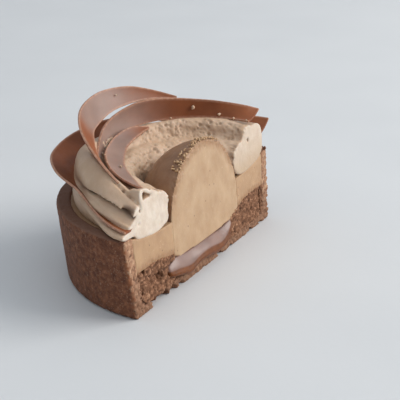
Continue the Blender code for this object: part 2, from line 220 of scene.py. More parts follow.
def move_points(obj, spots):
    """Puts the mesh's points at new places."""
    obj.data.vertices.foreach_set("co", in_metres(spots).ravel())
    obj.data.update()


def store(obj, name, values):
    """Keeps one number a point on the mesh, for its material."""
    attribute = obj.data.attributes.new(name, "FLOAT", "POINT")
    attribute.data.foreach_set("value", np.asarray(values, np.float32))


def grain(spots, size, shift=0.0):
    """Soft waves of about this size, from -1 to 1."""
    return np.array([noise.noise(Vector(p)) for p in spots / size + shift])


def cobbles(spots, size, shift=0.0):
    """Rounded crumbs of about this size: 1 on their tops, 0 in the creases."""
    cells = spots / size + shift
    near = np.array([noise.voronoi(Vector(p))[0][:2] for p in cells])
    return np.clip((near[:, 1] - near[:, 0]) / 0.5, 0, 1) ** 0.5


def pits(spots, size, share):
    """Small round pits: about this share of the cells holds one, 1 deep in its middle."""
    cells = spots / size
    found = [noise.voronoi(Vector(p)) for p in cells]
    away = np.array([near[0] for near, _ in found])
    chosen = np.array([noise.cell(centres[0] * 7.3) < share for _, centres in found])
    return chosen * np.clip(1 - away / 0.42, 0, 1) ** 0.7


# %% Masks
def ease(values, start, end):
    """0 before start, 1 after end, and a soft step between them."""
    share = np.clip((values - start) / (end - start), 0, 1)
    return share * share * (3 - 2 * share)


def radius_of(spots):
    """Each point's distance from the tart's axis."""
    return np.hypot(spots[:, 0], spots[:, 1])


def degrees_of(spots):
    """Each point's place round the ring, in degrees."""
    return np.degrees(np.arctan2(spots[:, 1], spots[:, 0]))


def facing_axis(spots, normals):
    """1 where the surface looks at the tart's axis, and -1 where it looks away."""
    return -(normals[:, 0] * spots[:, 0] + normals[:, 1] * spots[:, 1]) / radius_of(spots)


def behind_cut(spots):
    """How far a point lies behind the knife's face."""
    return -(spots - (0.0, 0.0, KNIFE_HEIGHT)) @ KNIFE_NORMAL


def on_cut(spots, normals, reach):
    """1 on the knife's face and 0 away from it."""
    facing = ease(normals @ KNIFE_NORMAL, 0.3, 0.6)
    return (1 - ease(behind_cut(spots), 0.3 * reach, reach)) * facing


# %% [markdown]
# ## Materials
# Every finish is a Principled surface with small procedural textures: noise for the change of
# colour, finer noise for grain, and bump for what is too fine to be mesh. The textures read the
# object's own coordinates in metres, so a size given here is the real size of the grain. The
# colours were matched to the photograph under the same soft light.

# %% A material and its textures
def start_material(name, roughness, specular):
    """A new material with its node tree and shader."""
    material = bpy.data.materials.new(name)
    material.use_nodes = True
    shader = material.node_tree.nodes["Principled BSDF"]
    shader.inputs["Roughness"].default_value = roughness
    shader.inputs["Specular IOR Level"].default_value = specular
    return material, material.node_tree, shader


def noise_at(tree, size, detail, rough, stretch=None):
    """Noise whose patches are about size millimetres."""
    coords = tree.nodes.new("ShaderNodeTexCoord").outputs["Object"]
    if stretch:
        mapping = tree.nodes.new("ShaderNodeMapping")
        mapping.inputs["Scale"].default_value = stretch
        tree.links.new(coords, mapping.inputs["Vector"])
        coords = mapping.outputs["Vector"]
    texture = tree.nodes.new("ShaderNodeTexNoise")
    texture.inputs["Scale"].default_value = 1 / (size * MM)
    texture.inputs["Detail"].default_value = detail
    texture.inputs["Roughness"].default_value = rough
    tree.links.new(coords, texture.inputs["Vector"])
    return texture.outputs["Fac"]


def spots_at(tree, size):
    """The distance to scattered spots that lie about size millimetres apart."""
    coords = tree.nodes.new("ShaderNodeTexCoord").outputs["Object"]
    texture = tree.nodes.new("ShaderNodeTexVoronoi")
    texture.inputs["Scale"].default_value = 1 / (size * MM)
    tree.links.new(coords, texture.inputs["Vector"])
    return texture.outputs["Distance"]


def stored(tree, name):
    """A number that the mesh holds for each point."""
    node = tree.nodes.new("ShaderNodeAttribute")
    node.attribute_name = name
    return node.outputs["Fac"]


# %% Colours and mixes
def steps_of(tree, factor, *stops):
    """A colour ramp with (place, colour) stops."""
    ramp = tree.nodes.new("ShaderNodeValToRGB")
    band = ramp.color_ramp
    while len(band.elements) < len(stops):
        band.elements.new(0.5)
    for element, (place, colour) in zip(band.elements, stops):
        element.position = place
        element.color = (*colour, 1.0)
    tree.links.new(factor, ramp.inputs["Fac"])
    return ramp.outputs["Color"]


MIX_FACTOR, MIX_FIRST, MIX_SECOND, MIX_RESULT = 0, 6, 7, 2


def blend(tree, factor, first, second):
    """Two colours mixed by a factor. Each colour is a socket or three plain numbers."""
    node = tree.nodes.new("ShaderNodeMix")
    node.data_type = "RGBA"
    tree.links.new(factor, node.inputs[MIX_FACTOR])
    for number, colour in ((MIX_FIRST, first), (MIX_SECOND, second)):
        if isinstance(colour, tuple):
            node.inputs[number].default_value = (*colour, 1.0)
        else:
            tree.links.new(colour, node.inputs[number])
    return node.outputs[MIX_RESULT]


def span(tree, value, low, high, out_low=0.0, out_high=1.0):
    """Maps a range of values onto another, and clamps it."""
    node = tree.nodes.new("ShaderNodeMapRange")
    limits = {"From Min": low, "From Max": high, "To Min": out_low, "To Max": out_high}
    for name, number in limits.items():
        node.inputs[name].default_value = number
    tree.links.new(value, node.inputs["Value"])
    return node.outputs["Result"]


def mottled(tree, size, detail, rough, *stops, stretch=None):
    """A colour that wanders between its (place, colour) stops in patches of this size."""
    return steps_of(tree, noise_at(tree, size, detail, rough, stretch), *stops)


def flecks_at(tree, size, start, end, most=1.0):
    """A factor that is 0, but for scattered flecks, where it rises to most."""
    return span(tree, noise_at(tree, size, 2.0, 0.5), start, end, 0.0, most)


# %% Bump, paint and the finished piece
def add_bump(tree, shader, height, depth):
    """Bump of the given depth in millimetres, on top of any bump before it."""
    node = tree.nodes.new("ShaderNodeBump")
    node.inputs["Strength"].default_value = 1.0
    node.inputs["Distance"].default_value = depth * MM
    tree.links.new(height, node.inputs["Height"])
    if shader.inputs["Normal"].is_linked:
        tree.links.new(shader.inputs["Normal"].links[0].from_socket, node.inputs["Normal"])
    tree.links.new(node.outputs["Normal"], shader.inputs["Normal"])


def paint(tree, shader, colour):
    """Gives the shader its colour."""
    tree.links.new(colour, shader.inputs["Base Color"])


def dress(obj, material, slot, *nodes):
    """Gives a finished piece its material and its place in the frame."""
    obj.data.materials.clear()
    obj.data.materials.append(material)
    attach(obj, "root")
    if nodes:
        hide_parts(*nodes)
    print(obj.name, "has", sum(len(p.vertices) - 2 for p in obj.data.polygons), "triangles")


# %% [markdown]
# ## The shell
# The shell is chocolate shortcrust baked against a ring: its outside is dull, dark and finely
# grained, its rim is flat, and the knife has left a paler, crumbly face with bitten edges. It
# could be a box of walls with a bump map, but the bites show in the outline, so the crumb is
# real relief. The outline is turned round the axis, cut by the knife and chipped along its
# lower edge, where the real base has lost some crumbs.

# %% The shell's outline
def inner_radius(height):
    """The inside of the wall, which leans out with the outside."""
    return FOOT_RADIUS + (SHELL_RADIUS - FOOT_RADIUS) * height / SHELL_HEIGHT - WALL


def arc(centre_r, centre_z, radius, start, end, steps):
    """Points of a round corner, with angles in degrees."""
    turns = [math.radians(start + (end - start) * k / steps) for k in range(steps + 1)]
    return [(centre_r + radius * math.cos(t), centre_z + radius * math.sin(t)) for t in turns]


RIM_ROUND, FOOT_ROUND, INNER_CORNER = 0.7, 1.1, 1.5
shell_outline = [(0.0, FLOOR), (inner_radius(FLOOR) - INNER_CORNER, FLOOR)]
shell_outline += [(inner_radius(FLOOR + INNER_CORNER), FLOOR + INNER_CORNER)]
shell_outline += [(inner_radius(SHELL_HEIGHT), SHELL_HEIGHT - RIM_ROUND)]
shell_outline += arc(inner_radius(SHELL_HEIGHT) + RIM_ROUND, SHELL_HEIGHT - RIM_ROUND,
                     RIM_ROUND, 150, 90, 3)
shell_outline += arc(SHELL_RADIUS - RIM_ROUND, SHELL_HEIGHT - RIM_ROUND, RIM_ROUND, 90, 0, 5)
shell_outline += arc(FOOT_RADIUS - FOOT_ROUND, FOOT_ROUND, FOOT_ROUND, 0, -90, 5)
shell_outline += [(0.0, 0.0)]
print("the shell's outline has", len(shell_outline), "points")

# %% Turning, cutting and chipping the shell
CRUST_CELL, CHIP_FRONT = 0.36, -0.8
# Place along the cut, height and half size of each bite out of the lower edge.
CHIPS = ((-26.2, 0.9, 2.3), (-22.4, -0.2, 2.4), (-18.2, 0.2, 1.7), (-14.6, -0.1, 1.4),
         (-3.0, -0.6, 1.2), (6.0, -0.6, 1.9), (12.5, -0.5, 1.2), (24.0, -0.7, 1.9), (30.6, -0.3, 1.2))
crust = turned("crust_shell", shell_outline)
knife = knife_block()
cut(crust, knife)
tools = [knife]
for x, z, size in CHIPS:
    tools.append(ball("chip", (x, CHIP_FRONT, z), (size, size * 1.1, size)))
    cut(crust, tools[-1])
remesh(crust, CRUST_CELL)
apply_steps(crust, *tools)
print("the shell has", len(CHIPS), "bites")

# %% Crumb on the cut and grain on the wall
spots, normals = places(crust)
cut_mask = on_cut(spots, normals, 1.6)
depth = behind_cut(spots)
outer = FOOT_RADIUS + (SHELL_RADIUS - FOOT_RADIUS) * spots[:, 2] / SHELL_HEIGHT
near_edge = (1 - ease(depth, 0.1, 1.1)) * ease(radius_of(spots), outer - 1.2, outer)
lower = 1 - ease(spots[:, 2], 3.0, 14.0)
crumb = cobbles(spots, 1.5) - 0.55 + 0.5 * (cobbles(spots, 0.75, 9.0) - 0.5)
relief = cut_mask * crumb * (0.30 + 0.45 * lower)
relief += near_edge * (0.45 * grain(spots, 0.9, 5.0) - 0.05)
relief += 0.075 * grain(spots, 0.8) + 0.07 * grain(spots, 2.4, 3.0)
# The base stays nearly flat, and nothing dips below what it stands on.
flat_base = ease(spots[:, 2], 0.0, 0.5)
moved = spots + normals * (relief * (0.35 + 0.65 * flat_base))[:, None]
moved[:, 2] = np.maximum(moved[:, 2], 0.0)
move_points(crust, moved)
store(crust, "cut", cut_mask)
store(crust, "edge", near_edge * ease(grain(spots, 1.0, 5.0), -0.25, 0.15))
# Painted shade: the creases between the cut's crumbs are stored so they can be painted nearly black.
store(crust, "crease_and_pore_shade", cut_mask * ease(-crumb, 0.05, 0.5))
store(crust, "lower", lower)
# Painted light: the rim's flat top is stored so that it can be painted paler where it faces up.
store(crust, "rim", ease(normals[:, 2], 0.4, 0.9) * ease(spots[:, 2], 18.8, 19.6))
print("crust points:", len(spots))

# %% [markdown]
# Shortcrust colour: the outside is a dull cocoa brown with fine lighter flecks, and painted shade
# darkens small pits. The rim's flat top is painted paler, as painted light where it faces up.
# The cut is pinkish tan where the blade has smeared it, darker towards the base, and painted
# shade makes each crease between crumbs nearly black. The cut's outer corner is an orange brown.
# A few noise textures of different sizes mix these, which looks more like baked dough than one
# colour with strong bump would.

# %% The shortcrust material
def shortcrust_material():
    material, tree, shader = start_material("shortcrust", 0.72, 0.35)
    wall = mottled(tree, 1.5, 6.0, 0.7, (0.36, (0.092, 0.029, 0.012)),
                   (0.50, (0.172, 0.060, 0.026)), (0.64, (0.270, 0.106, 0.050)))
    wall = blend(tree, flecks_at(tree, 0.5, 0.60, 0.74), wall, (0.300, 0.175, 0.115))
    # Painted shade: small round pits on the wall are painted nearly black.
    painted_pit_shade = span(tree, spots_at(tree, 1.3), 0.0, 0.22, 0.75, 0.0)
    wall = blend(tree, painted_pit_shade, wall, (0.048, 0.022, 0.014))
    # Painted light on the rim's flat top, which is paler where it faces up.
    wall = blend(tree, stored(tree, "rim"), wall, (0.165, 0.080, 0.050))
    face = mottled(tree, 1.3, 4.0, 0.6, (0.30, (0.270, 0.132, 0.070)),
                   (0.50, (0.400, 0.215, 0.124)), (0.70, (0.560, 0.355, 0.225)))
    lower = span(tree, stored(tree, "lower"), 0.2, 1.0, 0.0, 0.65)
    face = blend(tree, lower, face, (0.200, 0.093, 0.050))
    # Painted shade in the creases between crumbs.
    face = blend(tree, stored(tree, "crease_and_pore_shade"), face, (0.075, 0.032, 0.020))
    body = blend(tree, stored(tree, "cut"), wall, face)
    paint(tree, shader, blend(tree, stored(tree, "edge"), body, (0.255, 0.088, 0.034)))
    add_bump(tree, shader, noise_at(tree, 0.35, 3.0, 0.6), 0.12)
    add_bump(tree, shader, noise_at(tree, 1.2, 4.0, 0.6), 0.22)
    return material


dress(crust, shortcrust_material(), "shortcrust", "crust")

# %% [markdown]
# ## The sponge
# A ring of chocolate sponge lies on the floor of the shell, round the caramel. The knife has
# torn it, so its face is a mass of crumbs with dark pores. A texture alone would look flat at
# the edges, where crumbs stand proud and shade each other. Cobbles of two sizes make the
# crumbs, and a few egg shaped cuts make the larger holes beside the caramel.

# %% The sponge's outline
SPONGE_TOP, SPONGE_RISE = 7.3, 3.5
SINK = 0.1


def sponge_top(radius):
    """The sponge is pressed down in the middle and stands up round it."""
    return SPONGE_TOP + SPONGE_RISE * float(ease(np.array(radius), 5.0, 27.0))


wall_foot = inner_radius(FLOOR + INNER_CORNER)
sponge_outline = [(13.0, FLOOR - SINK), (wall_foot - 1.9, FLOOR - SINK), (wall_foot, FLOOR + INNER_CORNER)]
sponge_outline += [(inner_radius(sponge_top(32.0)), sponge_top(32.0))]
sponge_outline += [(radius, sponge_top(radius)) for radius in (29.0, 26.0, 23.0, 20.0, 17.0, 13.0, 9.0)]
sponge_outline += [(9.0, FLOOR - SINK)]
print("the sponge's top rises from", SPONGE_TOP, "to", SPONGE_TOP + SPONGE_RISE, "mm")

# %% Cutting the caramel's basin and the holes
SPONGE_CELL, POOL_STEPS = 0.33, 96
POOL_X, POOL_RADIUS = -3.3, 16.5
sponge = turned("sponge_crumb", sponge_outline)
pool_outline = [(0.0, -5.0), (11.0, -5.0), (11.0, 2.3), (POOL_RADIUS, 5.0), (POOL_RADIUS, 7.3),
                (13.0, 8.1), (13.0, 30.0), (0.0, 30.0)]
pool = turned("pool", pool_outline, POOL_X, POOL_STEPS)
knife = knife_block()
tools = [pool, knife]
# The middle of each hole, then half its width, depth and height.
HOLES = ((-24.2, -0.2, 6.5, 1.7, 1.7, 1.5), (-25.4, 0.1, 6.4, 0.9, 1.2, 0.7),
         (-30.8, 0.2, 10.3, 0.7, 1.2, 0.9), (31.1, 0.1, 9.4, 0.55, 2.2, 2.3),
         (31.0, -0.2, 5.4, 0.5, 1.5, 1.6), (25.2, -0.3, 6.1, 0.6, 0.9, 0.5),
         (19.6, -0.2, 8.3, 0.7, 0.8, 0.5), (-31.6, -0.3, 5.4, 0.45, 1.2, 1.3))
for x, y, z, wide, deep, tall in HOLES:
    tools.append(ball("hole", (x, y, z), (wide, deep, tall)))
for tool in tools:
    cut(sponge, tool)
remesh(sponge, SPONGE_CELL)
apply_steps(sponge, *tools)
print("the sponge has", len(HOLES), "large holes")

# %% Crumbs and pores on the sponge
spots, normals = places(sponge)
torn = on_cut(spots, normals, 3.0)
crumb = cobbles(spots, 1.5, 2.0) - 0.55 + 0.6 * (cobbles(spots, 0.8, 7.0) - 0.5)
relief = (0.35 + 0.65 * torn) * 0.62 * crumb + 0.25 * torn * grain(spots, 3.0)
move_points(sponge, spots + normals * relief[:, None])
# Painted shade: the creases between crumbs are stored so the pores can be painted nearly black.
store(sponge, "crease_and_pore_shade", ease(-crumb, 0.0, 0.55))
print("sponge points:", len(spots))

# %% [markdown]
# Sponge colour: milk chocolate brown crumbs with soft rosy tops, and pores that painted shade
# makes nearly black. The stored crease number drives the painted shade, so colour and shape agree.

# %% The sponge material
def sponge_material():
    material, tree, shader = start_material("chocolate_sponge", 0.85, 0.25)
    crumb = mottled(tree, 1.0, 4.0, 0.65, (0.30, (0.120, 0.054, 0.029)),
                    (0.52, (0.240, 0.112, 0.060)), (0.70, (0.470, 0.260, 0.155)))
    # Painted shade in the pores between crumbs.
    paint(tree, shader, blend(tree, stored(tree, "crease_and_pore_shade"), crumb, (0.045, 0.019, 0.012)))
    add_bump(tree, shader, noise_at(tree, 0.3, 3.0, 0.7), 0.14)
    return material


dress(sponge, sponge_material(), "sponge_crumb", "sponge")

# %% [markdown]
# ## The caramel
# The caramel is a flat pool that swells out of the cut and hangs a little over the base. Seen
# from the front it has a broad glossy face that looks up, a wavy ridge, and a lower lip turned
# under. The heights of its upper edge, its ridge and its lower edge are given at a few places
# along the cut, and a smooth curve runs through them. A soft body simulation could give such a
# bulge, but not this one, so the waves are drawn.

# %% A smooth curve through a few stations
def smooth_value(stations, at):
    """A value that runs smoothly through (place, value) stations."""
    if at <= stations[0][0]:
        return stations[0][1]
    if at >= stations[-1][0]:
        return stations[-1][1]
    last = len(stations) - 1
    i = max(k for k in range(last) if stations[k][0] <= at)

    def slope(k):
        before, after = stations[max(k - 1, 0)], stations[min(k + 1, last)]
        return (after[1] - before[1]) / (after[0] - before[0])

    (x0, y0), (x1, y1) = stations[i], stations[i + 1]
    width = x1 - x0
    t = (at - x0) / width
    parts = (2 * t**3 - 3 * t**2 + 1, t**3 - 2 * t**2 + t, 3 * t**2 - 2 * t**3, t**3 - t**2)
    return (parts[0] * y0 + parts[1] * width * slope(i)
            + parts[2] * y1 + parts[3] * width * slope(i + 1))


def smooth_values(rows, at):
    """The same for rows of several values: each row's first number is its place."""
    return [smooth_value([(row[0], row[n]) for row in rows], at) for n in range(1, len(rows[0]))]


# %% The caramel's three lines
# Place along the cut and height.
CARAMEL_UPPER = ((-20.2, 6.4), (-18.5, 7.3), (-15.5, 8.0), (-10.0, 7.4), (0.0, 7.2), (7.0, 6.9),
                 (10.0, 7.1), (12.9, 7.6))
CARAMEL_RIDGE = ((-20.2, 5.2), (-16.1, 4.9), (-12.7, 4.2), (-9.8, 3.9), (-7.0, 4.4), (-4.3, 4.7),
                 (-0.5, 4.6), (3.2, 4.0), (6.0, 3.7), (9.0, 4.3), (11.4, 5.6), (12.9, 7.0))
CARAMEL_LOWER = ((-20.2, 4.4), (-14.7, 3.0), (-10.8, 1.9), (-8.6, 2.5), (-6.0, 3.1), (-2.7, 2.9),
                 (2.1, 2.0), (6.0, 1.9), (8.6, 2.3), (11.6, 4.4), (12.9, 6.4))
print("the ridge is drawn through", len(CARAMEL_RIDGE), "places")

# %% A section through the caramel
CARAMEL_BULGE, CARAMEL_DEPTH, CARAMEL_SEAM = 1.7, 14.5, 1.2
FACE_STEPS, LIP_STEPS = 8, 6


def caramel_ring(x):
    """The caramel's section at one place along the cut."""
    share = (x - POOL_X) / POOL_RADIUS
    swell = math.sqrt(max(0.0, 1 - share * share)) ** 0.6
    upper, ridge, lower = (smooth_value(line, x) for line in (CARAMEL_UPPER, CARAMEL_RIDGE, CARAMEL_LOWER))
    bulge = CARAMEL_BULGE * swell
    ring = []
    for k in range(FACE_STEPS + 1):
        t = k / FACE_STEPS
        out = bulge * math.sin(t * math.pi / 2) ** 1.3
        ring.append((x, knife_y(upper) + 0.1 - out, upper + (ridge - upper) * t**1.25))
    for k in range(1, LIP_STEPS + 1):
        t = k / LIP_STEPS
        out = bulge * math.cos(t * math.pi / 2) ** 0.4
        ring.append((x, knife_y(lower) - out, ridge + (lower - ridge) * math.sin(t * math.pi / 2)))
    bottom, back = max(lower, FLOOR), CARAMEL_DEPTH * swell + 1.3
    ring += [(x, CARAMEL_SEAM, bottom), (x, back, bottom + 0.1), (x, back, upper - 0.1)]
    return ring + [(x, CARAMEL_SEAM, upper)]


# %% The caramel's body
CARAMEL_CELL, CARAMEL_SECTIONS, CARAMEL_SOFTENING = 0.3, 60, 4
xs = [POOL_X - POOL_RADIUS * math.cos(math.pi * k / CARAMEL_SECTIONS) for k in range(1, CARAMEL_SECTIONS)]
caramel = lofted("caramel_pool", [caramel_ring(x) for x in xs])
remesh(caramel, CARAMEL_CELL)
soften(caramel, CARAMEL_SOFTENING)
apply_steps(caramel)
spots, normals = places(caramel)
ridge_line = np.array([smooth_value(CARAMEL_RIDGE, x) for x in spots[:, 0]])
store(caramel, "lip", 1 - ease(spots[:, 2], ridge_line + 0.25, ridge_line + 0.75))
move_points(caramel, spots + normals * (0.10 * grain(spots, 4.0))[:, None])
print("caramel points:", len(spots))

# %% [markdown]
# Caramel finish: wet and glossy. A light clear coat over a milky brown body gives the pale
# reflection of the window on the face. The lip below the ridge is a warmer orange brown, painted
# darker as painted shade where it turns under away from the light, and it has no coat.

# %% The caramel material
def caramel_material():
    material, tree, shader = start_material("caramel", 0.38, 0.45)
    lip = stored(tree, "lip")
    tree.links.new(span(tree, lip, 0.0, 1.0, 0.4, 0.0), shader.inputs["Coat Weight"])
    tree.links.new(span(tree, lip, 0.0, 1.0, 0.45, 0.2), shader.inputs["Specular IOR Level"])
    shader.inputs["Coat Roughness"].default_value = 0.3
    shader.inputs["Subsurface Weight"].default_value = 0.15
    shader.inputs["Subsurface Radius"].default_value = (0.002, 0.001, 0.0005)
    face = mottled(tree, 6.0, 2.0, 0.5, (0.35, (0.190, 0.104, 0.080)), (0.65, (0.250, 0.142, 0.110)))
    # Painted shade: the lip that turns under is painted a darker, warmer orange brown.
    shaded_lip = mottled(tree, 2.0, 3.0, 0.5, (0.35, (0.125, 0.038, 0.010)), (0.65, (0.180, 0.058, 0.016)))
    paint(tree, shader, blend(tree, lip, face, shaded_lip))
    add_bump(tree, shader, noise_at(tree, 3.0, 2.0, 0.4), 0.05)
    return material


dress(caramel, caramel_material(), "caramel", "caramel")

# %% [markdown]
# ## The filling
# The coffee filling was poured round the dome and set. Its knife face is smooth, with a few
# upright smears from the blade, a short crack near the left end and pin holes from air. Its top
# rises slightly to the rim, as a liquid does against a wall.

# %% The filling's outline
# The filling laps 0.3 mm over what it meets, as it sticks to it.
MEET = 0.3


def filling_top(radius):
    """The surface rises to the rim."""
    reach = max(0.0, radius - DOME_RADIUS) / DOME_RADIUS
    return FILLING_TOP + FILLING_RISE * reach**2


wall_end = inner_radius(sponge_top(31.0)) + MEET
top_places = np.linspace(14.5, inner_radius(19.3) + MEET, 9)
filling_outline = [(radius, filling_top(radius)) for radius in top_places]
filling_outline += [(wall_end, sponge_top(31.0) - MEET)]
filling_outline += [(radius, sponge_top(radius) - MEET) for radius in np.linspace(31.0, 10.0, 10)]
print("the filling's outline has", len(filling_outline), "points")

# %% Cutting the filling
FILLING_CELL = 0.36
HOLE_FLOOR, HOLE_TOP = 7.6, 40.0
# Place along the cut, height and half width of the crack.
CRACK = ((-28.29, 10.9, 0.05), (-28.02, 12.5, 0.22), (-27.795, 15.0, 0.30), (-27.3, 17.8, 0.10))
filling = turned("filling_ring", filling_outline)
hole_edge = DOME_RADIUS - MEET
hole_outline = [(0.0, HOLE_FLOOR), (hole_edge, HOLE_FLOOR), (hole_edge, HOLE_TOP), (0.0, HOLE_TOP)]
dome_hole = turned("dome_hole", hole_outline, DOME_X)
knife = knife_block()
crack_rings = [[(x - half, -3.0, z), (x + half, -3.0, z), (x + 0.1, 1.3, z)] for x, z, half in CRACK]
crack = lofted("crack", crack_rings)
for tool in (dome_hole, knife, crack):
    cut(filling, tool)
remesh(filling, FILLING_CELL)
apply_steps(filling, dome_hole, knife, crack)
print("the crack is", round(CRACK[-1][1] - CRACK[0][1], 1), "mm long")


# %% Smears of the blade, and the foot torn by the sponge
def smeared(spots):
    """Faint upright smears and a slow wave, in millimetres."""
    return grain(spots * (1.0, 1.0, 0.6), 1.6) * 0.03 + grain(spots, 5.0, 4.0) * 0.05


spots, normals = places(filling)
face = on_cut(spots, normals, 1.0)
above_sponge = spots[:, 2] - np.array([sponge_top(radius) for radius in radius_of(spots)])
torn_foot = 1 - ease(above_sponge, 0.3, 2.2)
relief = face * (smeared(spots) + torn_foot * 0.35 * (cobbles(spots, 1.2, 4.0) - 0.6))
move_points(filling, spots + normals * relief[:, None])
store(filling, "cut", face)
store(filling, "torn", face * torn_foot)
print("filling points:", len(spots))

# %% [markdown]
# ## The dome
# The dome was moulded on its own: it has a smooth browner skin, and inside it is the same
# coffee cream as the filling. It is turned from a round cap on a straight foot. Where the
# blade went in at the top it dragged up crumbs, so that edge is roughened more than the rest.

# %% The dome's body
DOME_CELL, DOME_FLOOR, DOME_STEPS = 0.33, 7.4, 24
CAP_MIDDLE = DOME_HEIGHT - DOME_RADIUS
cap = arc(0.0, CAP_MIDDLE, DOME_RADIUS, 90, 0, DOME_STEPS)
# The top point lies exactly on the axis, so that the turned cap closes.
cap[0] = (0.0, DOME_HEIGHT)
foot = [(DOME_RADIUS, 8.5), (DOME_RADIUS - 3.0, DOME_FLOOR), (0.0, DOME_FLOOR - 0.3)]
dome = turned("dome_cream", cap + foot, DOME_X)
knife = knife_block()
cut(dome, knife)
remesh(dome, DOME_CELL)
apply_steps(dome, knife)
print("the dome is", DOME_HEIGHT, "mm high and", 2 * DOME_RADIUS, "mm wide")

# %% The smooth face and the torn edge
spots, normals = places(dome)
face = on_cut(spots, normals, 0.9)
from_middle = np.linalg.norm(spots - (DOME_X, 0.0, CAP_MIDDLE), axis=1)
edge = 1 - ease(behind_cut(spots), 0.3, 1.6)
edge = edge * ease(spots[:, 2], 17.0, 24.0) * ease(from_middle, 13.6, 16.8)
relief = face * smeared(spots)
relief += edge * (0.45 * (cobbles(spots, 0.9) - 0.5) + 0.35 * grain(spots, 1.6)) - 0.2 * edge
relief += (1 - face) * (0.05 * grain(spots, 3.0) + 0.02 * grain(spots, 0.8))
move_points(dome, spots + normals * relief[:, None])
store(dome, "cut", face)
store(dome, "torn", edge)
print("dome points:", len(spots))

# %% [markdown]
# Coffee cream: the cut is pale tan with faint upright smears, pale pin-head specks and small
# holes painted dark as painted shade. The dome's skin is a darker, slightly satin brown, and along the torn
# edge it turns coppery. Filling and dome follow one recipe, each in its own tints, which reads the
# stored cut number to tell knife face from skin.

# %% The coffee cream material
def coffee_material(name, face_colours, skin_colours):
    material, tree, shader = start_material(name, 0.42, 0.45)
    shader.inputs["Subsurface Weight"].default_value = 0.12
    shader.inputs["Subsurface Radius"].default_value = (0.0015, 0.0008, 0.0004)
    face = mottled(tree, 4.0, 3.0, 0.5, (0.30, face_colours[0]), (0.70, face_colours[1]),
                   stretch=(1.0, 1.0, 0.7))
    face = blend(tree, flecks_at(tree, 0.5, 0.66, 0.78, 0.6), face, (0.620, 0.450, 0.300))
    # Painted shade: small holes are painted dark.
    holes = span(tree, spots_at(tree, 2.7), 0.055, 0.095, 0.8, 0.0)
    face = blend(tree, holes, face, (0.180, 0.100, 0.055))
    torn = span(tree, stored(tree, "torn"), 0.1, 1.0, 0.0, 0.75)
    face = blend(tree, torn, face, (0.330, 0.175, 0.088))
    skin = mottled(tree, 5.0, 4.0, 0.6, (0.30, skin_colours[0]), (0.70, skin_colours[1]))
    skin = blend(tree, flecks_at(tree, 0.6, 0.64, 0.76, 0.5), skin, skin_colours[1])
    paint(tree, shader, blend(tree, stored(tree, "cut"), skin, face))
    dullness = span(tree, noise_at(tree, 1.2, 3.0, 0.6), 0.3, 0.7, 0.34, 0.58)
    tree.links.new(dullness, shader.inputs["Roughness"])
    add_bump(tree, shader, noise_at(tree, 0.5, 3.0, 0.6), 0.05)
    add_bump(tree, shader, noise_at(tree, 1.8, 3.0, 0.5), 0.05)
    return material


# Darker and lighter tint of each face and skin.
FILLING_FACE = ((0.385, 0.225, 0.118), (0.480, 0.300, 0.166))
FILLING_SKIN = ((0.360, 0.220, 0.125), (0.440, 0.290, 0.170))
DOME_FACE = ((0.425, 0.266, 0.148), (0.510, 0.342, 0.205))
DOME_SKIN = ((0.225, 0.112, 0.056), (0.325, 0.178, 0.095))
dress(filling, coffee_material("coffee_filling", FILLING_FACE, FILLING_SKIN), "coffee_filling", "filling")
dress(dome, coffee_material("coffee_dome", DOME_FACE, DOME_SKIN), "coffee_dome", "dome")

# %% [markdown]
# ## The piped cream
# Soft cream was piped round the rim in several passes, so the ring is a stack of ribbons with
# creases between them. Each ribbon is lofted by itself along the ring from a few stations, and
# a voxel remesh melts them into one skin. That leaves the creases where two ribbons meet,
# which is how they form when cream is piped. A single lofted section would have to carry each
# crease by hand.

